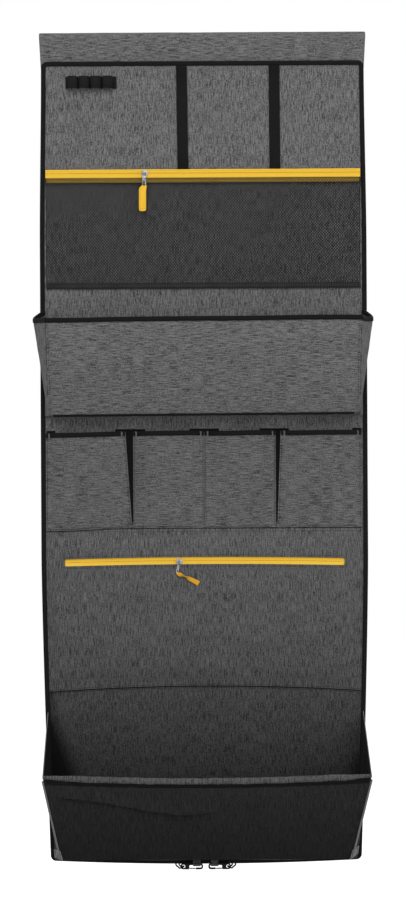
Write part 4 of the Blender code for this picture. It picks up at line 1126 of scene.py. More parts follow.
# Each zip tape's second colour is the painted shade of its groove.
TOP_TAPE = ZipTape("yellow top zip tape", "zip_tape", (0.90, 0.565, 0.055), (0.80, 0.485, 0.040), -0.1743)
WINDOW_TAPE = ZipTape("yellow window zip tape", "zip_tape", (0.96, 0.61, 0.065), (0.86, 0.50, 0.044), -0.7065)
COILS = Moulded("yellow zip coil", "zip_coil", (0.76, 0.44, 0.038), roughness=0.5, wear=0.12)
TAB_CLOTH = Ribbed("yellow zip tab", "zip_tab", (0.84, 0.50, 0.045), source=Source.PLACE, contrast=0.12,
    roughness=0.8, rib_direction="Z", rib=0.0011)
RIBBON = Ribbed("amber ribbon", "zip_tab", (0.66, 0.33, 0.026), source=Source.PLACE, contrast=0.12, roughness=0.8,
    rib_direction="Z", rib=0.0011)
METAL = Plated("bright metal", "metal", (0.34, 0.34, 0.35))
NET = Yarn("dark net yarn", "mesh", (0.0168, 0.0168, 0.0173))
BLACK_THREAD = Yarn("black thread", "binding", (0.010, 0.010, 0.0105))
GRAY_THREAD = Yarn("gray thread", "panel_cloth", (0.075, 0.075, 0.078))
LIGHT_THREAD = Yarn("light gray thread", "piping", (0.17, 0.17, 0.175))
YELLOW_THREAD = Yarn("yellow thread", "zip_tape", (0.66, 0.38, 0.04))
CORD = Yarn("black cord", "binding", (0.005, 0.005, 0.0053), twist=0.0014)
PIPING = Ribbed("gray piping", "piping", (0.150, 0.150, 0.153), source=Source.CUT, contrast=0.25)
HOOK = Moulded("black hook plastic", "hook_plastic", (0.0045, 0.0045, 0.0047), roughness=0.55)
GATE = Moulded("gray gate plastic", "gate_plastic", (0.34, 0.34, 0.345), wear=0.12)


# ---- the panel


@dataclass
class Outline:
    """The panel's outline, which everything sewn to it follows."""

    width: float = 0.4500
    top: float = -0.0196
    foot: float = -1.1203
    foot_bow: float = 0.0049
    top_loss: float = 0.0055
    foot_loss: float = 0.0222
    widen: float = 0.2600
    taper_start: float = -0.7000
    taper_power: float = 1.36
    top_radius: float = 0.0085
    foot_radius: float = 0.0075
    binding: float = 0.0065
    curved_seam: float = -0.8805
    seam_drop: float = 0.0080

    def half(self, z: float) -> float:
        """Returns half the panel's width at a height.

        Args:
            z: The height.

        Returns:
            Half the width.
        """
        widen = self.top_loss / 2 * (1 - ease((self.top - z) / self.widen))
        taper = (self.taper_start - z) / (self.taper_start - self.foot)
        return self.width / 2 - widen - self.foot_loss / 2 * max(taper, 0.0) ** self.taper_power

    def foot_z(self, x: float) -> float:
        """Returns the height of the bowed foot."""
        reach = self.half(self.foot) - self.foot_radius
        return self.foot - self.foot_bow * max(1 - (x / reach) ** 2, 0.0)

    def seam_z(self, x: float) -> float:
        """Returns the height of the curved seam over the bin."""
        return self.curved_seam - self.seam_drop * (x / (self.width / 2)) ** 2

    def bound(self, z: float) -> float:
        """Returns half the width between the binding's legs."""
        return self.half(z) - self.binding - GAP

    def reach(self, z: float, inset: float) -> float:
        """Returns half the width of a cloth at a height, drawn in by inset and round at the corners.

        Args:
            z: The height.
            inset: How far the cloth is drawn in.

        Returns:
            Half the width.
        """
        half = self.half(z) - inset
        drop = self.top - inset - z
        radius = self.top_radius - inset
        if drop < radius:
            return half - radius + math.sqrt(max(radius ** 2 - (radius - max(drop, 0.0)) ** 2, 0.0))
        rise = z - self.foot - inset
        radius = self.foot_radius - inset
        if rise < radius:
            return half - radius + math.sqrt(max(radius ** 2 - (radius - max(rise, 0.0)) ** 2, 0.0))
        return half

    def edge(self, inset: float) -> list[Vector]:
        """Returns the closed outline, drawn in by inset, from the middle of the top, clockwise.

        Args:
            inset: How far it is drawn in.

        Returns:
            The outline's points, at Y 0.
        """
        right: list[tuple[float, float]] = []
        radius, middle = self.top_radius - inset, self.half(self.top - self.top_radius) - self.top_radius
        right += [(middle * n / 90, self.top - inset) for n in range(90)]
        for n in range(13):
            turn = math.radians(90 - 7.5 * n)
            right.append((middle + radius * math.cos(turn), self.top - self.top_radius + radius * math.sin(turn)))
        head, tail = self.top - self.top_radius, self.foot + self.foot_radius
        right += [(self.half(mix(head, tail, s)) - inset, mix(head, tail, s)) for s in steps(360)[1:-1]]
        radius, middle = self.foot_radius - inset, self.half(tail) - self.foot_radius
        for n in range(13):
            turn = math.radians(-7.5 * n)
            right.append((middle + radius * math.cos(turn), tail + radius * math.sin(turn)))
        right += [(middle * (1 - s), self.foot_z(middle * (1 - s)) + inset) for s in steps(90)[1:]]
        left = [(-x, z) for x, z in reversed(right[1:-1])]
        return [Vector((x, 0, z)) for x, z in right + left]


OUTLINE = Outline()


@dataclass
class Panel(Sewn):
    """The board, its lining, the four face cloths and the tape that binds them."""

    upper_seam: float = -0.4400
    middle_seam: float = -0.6670
    seam: float = 0.0006
    inset: float = TUCK
    lining_top: float = -0.0500
    binding_wall: float = 0.0008
    swell: float = 0.00022
    stitch: Thread = Thread()

    def face(self, x: float, z: float) -> float:
        """Returns how far the face cloth stands in front of its level, from its slight unevenness."""
        return self.swell * (ripple(x, z, 0.035, 1.3) + 0.5 * ripple(x, z, 0.012, 4.1)) - self.swell * 0.4

    def sheet(self, name: str, finish: Finish, high: Callable[[float], float], low: Callable[[float], float]) -> None:
        """Makes one face cloth between two seams.

        Args:
            name: The CAD node that it stands for.
            finish: Its finish.
            high: Height of its top edge by x.
            low: Height of its foot by x.
        """
        def place(u: float, v: float) -> Spot:
            """Returns the point at u and v."""
            guess = mix(high(0), low(0), v)
            x = (2 * u - 1) * OUTLINE.reach(guess, self.inset)
            z = mix(high(x), low(x), v)
            x = (2 * u - 1) * OUTLINE.reach(z, self.inset)
            return x, level(self.face(x, z)), z

        length = high(0) - low(0)
        self.cloth(f"cloth_{name}", (120, max(int(length / 0.004), 20)), place, finish, name, "stretched", angle=40)

    def build(self) -> None:
        """Builds the panel's layers from the board outwards."""
        top = OUTLINE.top - self.inset
        self.sheet("upper_panel", PANEL, lambda x: top, lambda x: self.upper_seam)
        self.sheet("middle_panel", PANEL, lambda x: self.upper_seam - self.seam, lambda x: self.middle_seam)
        self.sheet("bottom_panel", BOTTOM, lambda x: OUTLINE.seam_z(x) - self.seam,
            lambda x: OUTLINE.foot_z(x) + self.inset)
        self.keep("backing_board", BOARD_FELT)
        self.lining()
        self.binding()
        self.stitches()

    def lining(self) -> None:
        """Makes the back lining, which shows between the binding's back legs."""
        inset = OUTLINE.binding + self.seam
        front = BOARD_BACK_Y + GAP

        def place(u: float, v: float) -> Spot:
            """Returns the point at u and v."""
            foot = OUTLINE.foot_z(0) + inset
            z = mix(self.lining_top, foot, v)
            x = (1 - 2 * u) * OUTLINE.reach(z, inset)
            z = mix(self.lining_top, OUTLINE.foot_z(x) + inset, v)
            return x, front + CLOTH + 0.0001 * ripple(x, z, 0.03, 7.7), z

        self.cloth("cloth_back_lining", (100, 240), place, LINING, "back_lining", "stretched", angle=40)

    def binding(self) -> None:
        """Makes the folded tape round the whole edge, with a slightly padded fold."""
        front, back = level(0) - GAP, BOARD_BACK_Y + GAP
        near, far = front - self.binding_wall, back + self.binding_wall
        width = OUTLINE.binding
        section = [(width, front), (width, near + 0.0002), (width - 0.0002, near), (width * 0.72, near - 0.00025),
            (width * 0.45, near - 0.00042), (width * 0.2, near - 0.00030), (0.0004, near + 0.0003),
            (0.0, near + 0.0012), (-0.0002, (near + far) / 2), (0.0, far - 0.0012), (0.0004, far - 0.0003),
            (width * 0.2, far + 0.00015), (width * 0.6, far + 0.00015), (width - 0.0002, far), (width, far - 0.0002),
            (width, back), (self.binding_wall, back), (self.binding_wall, front)]
        lines = [[Vector((p.x, y, p.z)) for p in OUTLINE.edge(inset)] for inset, y in section]
        rings = [list(ring) for ring in zip(*lines)]
        self.dress(skin("tape_edge_binding", rings, closed=True), BINDING, "edge_binding", angle=55)

    def stitches(self) -> None:
        """Sews the binding down in front and behind, and the seams across the panel."""
        inset = OUTLINE.binding - 0.0013
        near, far = level(0) - GAP - self.binding_wall, BOARD_BACK_Y + GAP + self.binding_wall
        rim = OUTLINE.edge(inset)
        front = [Vector((p.x, near - LAID, p.z)) for p in rim + rim[:1]]
        back = [Vector((p.x, far + LAID, p.z)) for p in rim + rim[:1]]
        self.dress(self.stitch.sew("stitch_binding_front", [front]), BLACK_THREAD)
        self.dress(self.stitch.sew("stitch_binding_back", [back], BACKWARDS), BLACK_THREAD)
        reach = OUTLINE.bound(-0.9)
        seam = [(x, OUTLINE.seam_z(x)) for x in (reach * (2 * s - 1) for s in steps(120))]
        self.dress(tube("fold_curved_seam", [Vector((x, level(0.0001), z)) for x, z in seam], 0.0007, 6), BINDING)
        row = [Vector((x, level(self.face(x, z - 0.0022)) - LAID, z - 0.0022)) for x, z in seam]
        self.dress(self.stitch.sew("stitch_curved_seam", [row]), BLACK_THREAD)
        y = BOARD_BACK_Y + GAP + CLOTH + LAID
        rows = []
        for z in (-0.0525, self.upper_seam, self.middle_seam, -0.8800):
            half = OUTLINE.half(z) - OUTLINE.binding - 0.002
            rows.append([Vector((half * (2 * s - 1), y, z)) for s in steps(80)])
        self.dress(self.stitch.sew("stitch_back_lining", rows, BACKWARDS), GRAY_THREAD)


# ---- pole sleeve


@dataclass
class PoleSleeve(Sewn):
    """The sleeve behind the panel's top: a front wall and a flap that closes it from behind."""

    width: float = 0.4480
    depth: float = 0.0180
    wall: float = 0.0010
    top: float = 0.0220
    foot: float = -0.0470
    tunnel_foot: float = -0.0200
    tape: float = 0.0012
    tape_height: float = 0.0180
    tape_margin: float = 0.0065
    spare: float = 0.0010
    stitch: Thread = Thread()

    @property
    def radius(self) -> float:
        """Returns the outer radius of the rounded crown."""
        return self.depth / 2 + self.wall

    def front_line(self) -> list[tuple[float, float]]:
        """Returns the front wall's outer line from the crown down, as (y, z).

        Returns:
            The line's points.
        """
        spring = self.top - self.radius
        arc = [math.radians(90 + 6 * n) for n in range(16)]
        line = [(self.radius * math.cos(t) - GAP / 2 * (n == 0), spring + self.radius * math.sin(t))
            for n, t in enumerate(arc)]
        return line + [(-self.radius, mix(spring, self.foot, s)) for s in steps(24)[1:]]

    def back_line(self) -> list[tuple[float, float]]:
        """Returns the flap's outer line from the crown down, as (y, z).

        Returns:
            The line's points.
        """
        spring = self.top - self.radius
        arc = [math.radians(90 - 6 * n) for n in range(16)]
        tape_front = -self.depth / 2 + GAP
        flap = tape_front + self.tape * 2 + GAP * 2 + self.wall
        line = [(self.radius * math.cos(t) + GAP / 2 * (n == 0), spring + self.radius * math.sin(t))
            for n, t in enumerate(arc)]
        line += [(flap + (self.radius - flap) * (1 - ease(s)), self.tunnel_foot * s) for s in steps(12)[1:]]
        return line + [(flap, mix(self.tunnel_foot, self.foot, s)) for s in steps(12)[1:]]

    def wrap(self, line: list[tuple[float, float]], side: int, seed: float) -> Place:
        """Returns the place of a wall that follows a line, with slight slack between its ends.

        Args:
            line: The wall's outer line as (y, z).
            side: -1 for the front wall, 1 for the flap.
            seed: Picks its creases.

        Returns:
            The place by u and v.
        """
        def place(u: float, v: float) -> Spot:
            """Returns the point at u and v."""
            spot = v * (len(line) - 1)
            n = min(int(spot), len(line) - 2)
            share = spot - n
            y, z = (mix(line[n][k], line[n + 1][k], share) for k in (0, 1))
            x = (2 * u - 1) * (self.width / 2 + 0.0004 + z * 0.055) * (1 if side < 0 else -1)
            free = ease((z - self.tunnel_foot) / 0.012) * plateau(min(max((self.top - z) / 0.05, 0.0), 1.0), 4)
            ends = ease((self.width / 2 - abs(x)) / 0.02)
            puff = 0.0007 * ripple(x, z * 2.2, 0.05, seed) + 0.0009 * crease(x, z * 1.5, 0.045, seed) * 0.6
            return x, y + side * (puff - 0.0004) * free * ends, z
        return place

    def build(self) -> None:
        """Builds both walls, the closure tapes and the stitches."""
        front, back = self.wrap(self.front_line(), -1, 2.1), self.wrap(self.back_line(), 1, 5.3)
        self.cloth("cloth_sleeve_front", (180, 40), front, SLEEVE, "sleeve_front", "stretched", wall=self.wall,
            angle=40)
        self.cloth("cloth_sleeve_flap", (180, 42), back, SLEEVE_BACK, "sleeve_flap", "folded", "sleeve_flap",
            wall=self.wall, angle=40)
        half = self.width / 2 - self.tape_margin
        near = -self.depth / 2 + GAP
        for node, body, start in (("sleeve_loop_tape", "panel", near),
                ("sleeve_hook_tape", "sleeve_flap", near + self.tape + GAP)):
            foot = self.foot + self.spare
            obj = block(f"tape_{node}", (-half, start, foot), (half, start + self.tape, foot + self.tape_height))
            bevel_along(obj, 1, 0.002, 4)
            soften(obj, 0.0003)
            self.dress(obj, CLOSURE, node, body)
        rows = []
        for z in (self.tunnel_foot - 0.0030, self.foot + 0.0028):
            y = self.back_line()[-1][0] + LAID
            rows.append([Vector(((self.width / 2 - 0.003) * (1 - 2 * s), y, z)) for s in steps(60)])
        self.dress(self.stitch.sew("stitch_sleeve_flap", rows, BACKWARDS), GRAY_THREAD, body="sleeve_flap")
        self.crown()

    def crown(self) -> None:
        """Makes the fold along the crown where the two walls are sewn together."""
        half = self.width / 2 + 0.0010
        line = [Vector((half * (2 * s - 1), -0.0006, self.top - 0.0001 + 0.00012 * ripple(s * 0.45, 0, 0.05, 9.0)))
            for s in steps(150)]
        self.dress(tube("fold_sleeve_crown", line, 0.0011, 8, 0.7), SLEEVE)


# ---- straps and loops


@dataclass
class Straps(Sewn):
    """Two webbing straps from the top binding down to the zip."""

    width: float = 0.0150
    places: tuple[tuple[str, float, float], ...] = (("strap_left", -0.0280, 0.0015), ("strap_right", 0.0990, 0.0007))
    top: float = -0.0264
    foot: float = -0.1687
    thickness: float = 0.0012
    stitch: Thread = Thread(pitch=0.0026, length=0.0021)

    def build(self) -> None:
        """Builds both straps and sews their ends."""
        for node, middle, slant in self.places:
            def place(u: float, v: float, middle: float = middle, slant: float = slant) -> Spot:
                """Returns the point at u and v."""
                x = middle + (u - 0.5) * self.width + slant * (v - 0.5)
                z = mix(self.top, self.foot, v)
                crown = 0.00018 * (1 - (2 * u - 1) ** 2) + 0.00010 * ripple(x, z, 0.03, middle * 40)
                return x, level(GAP + self.thickness + crown), z

            self.cloth(f"strip_{node}", (10, 60), place, WEB, node, wall=self.thickness, rim=(0.0003, 2), angle=40)
            y = level(GAP + self.thickness + 0.00025)
            rows = []
            for high, low, shift in ((self.top - 0.0022, self.top - 0.0142, -slant * 0.45),
                    (self.foot + 0.0142, self.foot + 0.0022, slant * 0.45)):
                left, right = (middle + shift + side * (self.width / 2 - 0.0016) for side in (-1, 1))
                corners = [Vector((x, y, z)) for x, z in ((left, high), (right, high), (right, low), (left, low),
                    (left, high), (right, low))]
                rows.append(corners)
                rows.append([Vector((left, y, low)), Vector((right, y, high))])
            self.dress(self.stitch.sew(f"stitch_{node}", rows), BLACK_THREAD)


@dataclass
class ElasticLoops(Sewn):
    """One strip of elastic, sewn down between its four loops."""

    left: float = -0.1885
    middle_z: float = -0.0490
    count: int = 4
    pitch: float = 0.0162
    rise: float = 0.0080
    land: float = 0.0029
    tail: float = 0.0055
    width: float = 0.0164
    thickness: float = 0.0010
    stitch: Thread = Thread(pitch=0.0018, length=0.0016)

    def line(self) -> list[tuple[float, float]]:
        """Returns the strip's inner line as (x, depth).

        Returns:
            The line's points.
        """
        line = [(self.left, GAP)]
        for n in range(self.count):
            start = self.left + self.land + n * self.pitch
            span = self.pitch - self.land
            line += [(start + span * (0.5 - 0.5 * math.cos(math.pi * s)),
                GAP + self.rise * math.sin(math.pi * s) ** 0.55) for s in steps(20)]
        return line + [(self.left + self.count * self.pitch + self.tail, GAP)]

    def build(self) -> None:
        """Builds the strip and the stitches of its lands."""
        line = self.line()
        rings = []
        for n, (x, depth) in enumerate(line):
            before, after = line[max(n - 1, 0)], line[min(n + 1, len(line) - 1)]
            run = Vector((after[0] - before[0], after[1] - before[1])).normalized()
            ring = []
            for up, out in ((-1, 0.15), (-0.98, 0.0), (0.98, 0.0), (1, 0.15), (1, 0.85), (0.98, 1.0), (0, 1.12),
                    (-0.98, 1.0), (-1, 0.85)):
                ring.append(Vector((x - run[1] * self.thickness * out, level(depth + run[0] * self.thickness * out),
                    self.middle_z + self.width / 2 * up)))
            rings.append(ring)
        self.dress(skin("strip_elastic_loops", rings), ELASTIC_BAND, "elastic_loops", angle=60)
        y = level(GAP + self.thickness + LAID)
        rows = []
        for n in range(self.count + 1):
            x = self.left + n * self.pitch + self.land / 2
            rows.append([Vector((x, y, self.middle_z + self.width / 2 * s)) for s in (0.94, -0.94)])
        self.dress(self.stitch.sew("stitch_elastic_loops", rows), BLACK_THREAD)


# ---- zips


@dataclass
class Zip(Sewn):
    """A zip with its tape outwards: coil behind, slider, pull and cloth tab in front."""

    name: str
    middle_z: float
    slider_x: float
    base: float
    length: float
    coil_length: float
    coil: float = 0.0010
    tape: float = 0.0008
    slot: float = 0.00034
    coil_width: float = 0.0050
    tooth_pitch: float = 0.0012
    slider_width: float = 0.0083
    slider_height: float = 0.0076
    plate: float = 0.0014
    slider_foot: float = 0.0008
    neck: float = 0.00024
    loop_cloth: Ribbed = TAB_CLOTH
    bail_width: float = 0.0016
    bail_wire: float = 0.0010
    bail_rise: float = 0.0030
    pull: float = 0.0012
    pull_width: float = 0.0054
    pull_length: float = 0.0165
    eye_width: float = 0.0034
    eye_height: float = 0.0030
    tab: float = 0.0016
    lean: float = 0.0
    stitch: Thread = Thread(pitch=0.0028, length=0.0022, radius=0.00022)

    def levels(self) -> dict[str, tuple[float, float]]:
        """Returns the depths of the zip's layers, near and far of each.

        Returns:
            Both depths by the layer's name.
        """
        foot = self.base + GAP
        coil = foot + self.slider_foot + GAP
        tape = coil + self.coil + GAP
        near = tape + self.tape + GAP
        far = near + self.plate
        pivot = far + self.bail_rise * 0.6
        return {"foot": (foot, foot + self.slider_foot), "coil": (coil, coil + self.coil),
            "tape": (tape, tape + self.tape), "plate": (near, far), "pivot": (pivot, pivot),
            "bail": (far + self.bail_rise, far + self.bail_rise)}

    def shape(self, obj: Thing) -> Thing:
        """Returns a piece as it lies on this zip: straight here, bowed on the window zip."""
        return obj

    def teeth(self) -> None:
        """Makes one tooth of the coil, repeats it along both sides, and adds the end stops."""
        near, far = self.levels()["coil"]
        pieces = []
        for side, shift in ((1, 0.0), (-1, self.tooth_pitch / 2)):
            start = -self.coil_length / 2 + self.coil_width * 0.6 + shift
            lip, rim = side * 0.00020, side * self.coil_width / 2
            tooth = block("tooth", (start, level(far), self.middle_z + min(lip, rim)),
                (start + self.tooth_pitch * 0.72, level(near), self.middle_z + max(lip, rim)))
            soften(tooth, 0.00022, 1)
            count = int((self.coil_length - self.coil_width * 1.2 - shift) / self.tooth_pitch)
            modify(tooth, "ARRAY", count=count, use_relative_offset=False, use_constant_offset=True,
                constant_offset_displace=(self.tooth_pitch, 0, 0))
            pieces.append(tooth)
        for side in (-1, 1):
            x = side * (self.coil_length / 2 - self.coil_width * 0.25)
            stop = block("stop", (x - self.coil_width * 0.25, level(far), self.middle_z - self.coil_width / 2),
                (x + self.coil_width * 0.25, level(near), self.middle_z + self.coil_width / 2))
            soften(stop, 0.0003, 2)
            pieces.append(stop)
        obj = join(f"{self.name}_coil_teeth", pieces)
        self.dress(self.shape(obj), COILS, f"{self.name}_coil")

    def slider(self) -> None:
        """Makes the slider: shield plate, foot plate, neck and bail."""
        levels = self.levels()
        x, z = self.slider_x, self.middle_z
        half_x, half_z = self.slider_width / 2, self.slider_height / 2
        near, far = levels["plate"]
        plate = block(f"metal_{self.name}_slider", (x - half_x, level(far), z - half_z),
            (x + half_x, level(near), z + half_z))
        bevel_along(plate, 1, half_z * 0.5, 5)
        soften(plate, 0.00035, 3, 50)
        near, far = levels["foot"]
        foot = block("foot", (x - half_x, level(far), z - half_z), (x + half_x, level(near), z + half_z))
        bevel_along(foot, 1, half_z * 0.5, 5)
        soften(foot, 0.0002, 2, 50)
        neck = block("neck", (x - half_x / 2, level(levels["plate"][0] + 0.0002), z - self.neck / 2),
            (x + half_x / 2, level(far - 0.0002), z + self.neck / 2))
        top = levels["bail"][0] + self.bail_wire
        base = levels["plate"][1] - 0.0002
        reach = half_z - self.bail_wire / 2
        bail = block("bail", (x - self.bail_width / 2, level(top), z - reach),
            (x + self.bail_width / 2, level(base), z + reach))
        bevel_edges(bail, lambda spot, line: abs(line.x) > ALIGNED and spot.y < level(top) + GAP, 0.0013, 5)
        inside = block("inside", (x - self.bail_width, level(top - self.bail_wire), z - reach + self.bail_wire),
            (x + self.bail_width, level(base - 0.001), z + reach - self.bail_wire))
        bevel_edges(inside, lambda spot, line: abs(line.x) > ALIGNED and spot.y < level(top - 0.0013), 0.0009, 4)
        cut(bail, [inside])
        soften(bail, 0.0002, 2, 50)
        cut(plate, [foot, neck, bail], join=True)
        self.dress(plate, METAL, f"{self.name}_slider", f"{self.name}_slider", angle=35)

    def pull_piece(self) -> None:
        """Makes the metal pull: a window round the bail at its top and an eye at its foot."""
        depth = self.levels()["pivot"][0]
        x, z = self.slider_x, self.middle_z + self.bail_wire / 2
        near, far = depth - self.pull / 2, depth + self.pull / 2
        body = block(f"metal_{self.name}_pull", (x - self.pull_width / 2, level(far), z - self.pull_length),
            (x + self.pull_width / 2, level(near), z + self.pull / 2))
        bevel_along(body, 1, 0.0013, 5)
        half = self.bail_width / 2 + GAP + abs(self.lean) * 0.0018
        window = block("window", (x - half, level(far + 0.001), z - self.slider_height / 2 - self.bail_wire),
            (x + half, level(near - 0.001), z - self.pull / 2))
        eye_foot = z - self.pull_length + self.pull
        eye = block("eye", (x - self.eye_width / 2, level(far + 0.001), eye_foot),
            (x + self.eye_width / 2, level(near - 0.001), eye_foot + self.eye_height))
        bevel_along(window, 1, 0.0004, 3)
        bevel_along(eye, 1, 0.0006, 3)
        cut(body, [window, eye])
        soften(body, 0.00028, 3, 40)
        for point in body.data.vertices:
            x, z = point.co.x - self.slider_x, point.co.z - self.middle_z
            point.co.x = self.slider_x + x * math.cos(self.lean) + z * math.sin(self.lean)
            point.co.z = self.middle_z + z * math.cos(self.lean) - x * math.sin(self.lean)
        self.dress(body, METAL, f"{self.name}_pull", f"{self.name}_pull", angle=35)

    def bar(self) -> tuple[float, float]:
        """Returns the place of the bar below the pull's eye, which carries the tab, as (x, z)."""
        reach = self.pull_length - self.pull / 2 - self.bail_wire / 2
        return self.slider_x - reach * math.sin(self.lean), self.middle_z - reach * math.cos(self.lean)

    def tab_loop(self) -> None:
        """Makes the loop of cloth through the pull's eye."""
        depth, (x, z) = self.levels()["pivot"][0], self.bar()
        inner, outer = self.pull / 2 + GAP, self.pull / 2 + GAP + self.tab / 2
        half = self.eye_width * 0.26
        turns = [math.radians(-20 + 220 * s) for s in steps(14)]
        legs = [[(r * side, -inner - self.tab * 0.9) for r in (inner, outer)] for side in (1, -1)]
        arc = [[(r * math.cos(turn), r * math.sin(turn)) for r in (inner, outer)] for turn in turns]
        rings = []
        for near, far in (legs[0], *arc, legs[1]):
            corners = ((-1, near), (1, near), (1, far), (-1, far))
            rings.append([Vector((x + side * half, level(depth + out), z + up)) for side, (out, up) in corners])
        obj = skin(f"loop_{self.name}_tab", rings)
        soften(obj, 0.00012, 1, 60)
        self.dress(obj, self.loop_cloth, body=f"{self.name}_tab", slot="zip_tab")


def arch(obj: Thing) -> Thing:
    """Bows a piece of the window zip, or the cloth round it, a little upwards in its middle.

    Args:
        obj: The piece.

    Returns:
        The same piece.
    """
    for point in obj.data.vertices:
        near = 1 - ease((abs(point.co.z - WindowZip.middle_z) - 0.011) / 0.02)
        point.co.z += (0.0024 * max(1 - (point.co.x / 0.19) ** 2, 0.0) - 0.0009) * near
    return obj


def join(name: str, pieces: Sequence[Thing]) -> Thing:
    """Joins pieces that don't touch into one object.

    Args:
        name: The new piece's name.
        pieces: What is joined.

    Returns:
        The joined object.
    """
    bpy.ops.object.select_all(action="DESELECT")
    for piece in pieces:
        piece.select_set(True)
    bpy.context.view_layer.objects.active = pieces[0]
    bpy.ops.object.join()
    obj = pieces[0]
    obj.name = obj.data.name = name
    return obj


@dataclass
class TopZip(Zip):
    """The zip over the mesh pocket."""

    name: str = "top_zip"
    middle_z: float = -0.1743
    slider_x: float = -0.0800
    base: float = 0.0
    length: float = 0.4330
    coil_length: float = 0.4265
    band: float = 0.0106
    mesh_top: float = -0.1810
    hidden: float = 0.0060
    lean: float = 0.05
    # Painted shade: the top zip's tab loop is black, for the shadow in the pull's eye.
    loop_cloth: Ribbed = POCKET_BINDING
    tab_length: float = 0.0360
    tab_width: float = 0.0096

    def build(self) -> None:
        """Builds both tapes, the coil, the slider, the pull and the tab."""
        self.tapes()
        self.teeth()
        self.slider()
        self.pull_piece()
        self.tab_loop()
        self.tab_piece()

    def tapes(self) -> None:
        """Makes the two tapes, their rolled lips and their stitches."""
        far = self.levels()["tape"][1]
        lip = self.slot / 2
        riser = self.slider_height / 2 + GAP + self.tape
        line = [(GAP + self.tape, self.band / 2 + 0.0002), (GAP + self.tape + 0.0001, riser + 0.0002),
            (far * 0.55, riser + 0.00005), (far - 0.0003, riser - 0.0001), (far, riser - 0.0006), (far, riser * 0.5),
            (far + 0.0001, lip + 0.0006), (far, lip)]

        def upper(u: float, v: float) -> Spot:
            """Returns the point at u and v."""
            spot = v * (len(line) - 1)
            n = min(int(spot), len(line) - 2)
            depth, z = (mix(line[n][k], line[n + 1][k], spot - n) for k in (0, 1))
            x = (u - 0.5) * self.length
            wave = 0.00012 * ripple(x, 0, 0.02, 6.0)
            return x, level(depth + wave), self.middle_z + z + wave

        self.cloth("strip_top_zip_upper_tape", (260, 14), upper, TOP_TAPE, "top_zip_upper_tape", wall=self.tape)
        foot = self.mesh_top - self.hidden
        half = self.length / 2

        def lower(u: float, v: float) -> Spot:
            """Returns the point at u and v."""
            x = (2 * u - 1) * half
            z = mix(self.middle_z - lip, foot, v)
            wave = 0.00010 * ripple(x, z, 0.02, 2.0)
            return x, level(far + wave), z

        self.cloth("strip_top_zip_lower_tape", (260, 8), lower, TOP_TAPE, "top_zip_lower_tape", wall=self.tape)
        y = level(far + 0.0003)
        rows = [[Vector(((self.length / 2 - 0.002) * (2 * s - 1), y, self.middle_z + up)) for s in steps(60)]
            for up in (0.0038, -0.0054)]
        self.dress(self.stitch.sew("stitch_top_zip", rows), YELLOW_THREAD)

    def tab_piece(self) -> None:
        """Makes the broad cloth tab, tapered at its top and a little curled."""
        depth, (middle, bar) = self.levels()["pivot"][0], self.bar()
        shoulder = bar - self.pull / 2 - GAP - self.tab / 4

        def place(u: float, v: float) -> Spot:
            """Returns the point at u and v."""
            half = mix(self.pull_width / 2, self.tab_width / 2, ease(v * 9))
            end = 0.0012 * (2 * u - 1) ** 4 * ease((v - 0.85) / 0.15)
            z = shoulder - (self.tab_length - end) * v
            x = middle - 0.0022 * ease(v * 5) + (2 * u - 1) * (half - 0.0006 * ease((v - 0.96) / 0.04))
            curl = (0.0006 * math.sin(v * 2.6) + 0.0004 * (2 * u - 1) ** 2 + 0.0002 * ripple(x, z, 0.01, 3.0)
                - 0.0007 * math.exp(-((u - 0.45) / 0.10) ** 2) * ease(v * 5) * ease((1 - v) * 5))
            return x, level(depth + self.tab / 2 + curl), z

        self.cloth("cloth_top_zip_tab", (16, 40), place, TAB_CLOTH, "top_zip_tab", "folded", "top_zip_tab",
            wall=self.tab, rim=(0.00035, 2), angle=50)
        row, down = [], (0.12, 0.3, 0.5, 0.7, 0.97)
        for u, v in [(0, s) for s in down] + [(1, s) for s in reversed(down)]:
            x, y, z = place(u, v)
            row.append(Vector((x + (-TUCK if u else TUCK), y - 0.0002, z + (TUCK if v == down[-1] else 0))))
        self.dress(self.stitch.sew("stitch_top_zip_tab", [row]), YELLOW_THREAD, body="top_zip_tab", slot="zip_tab")


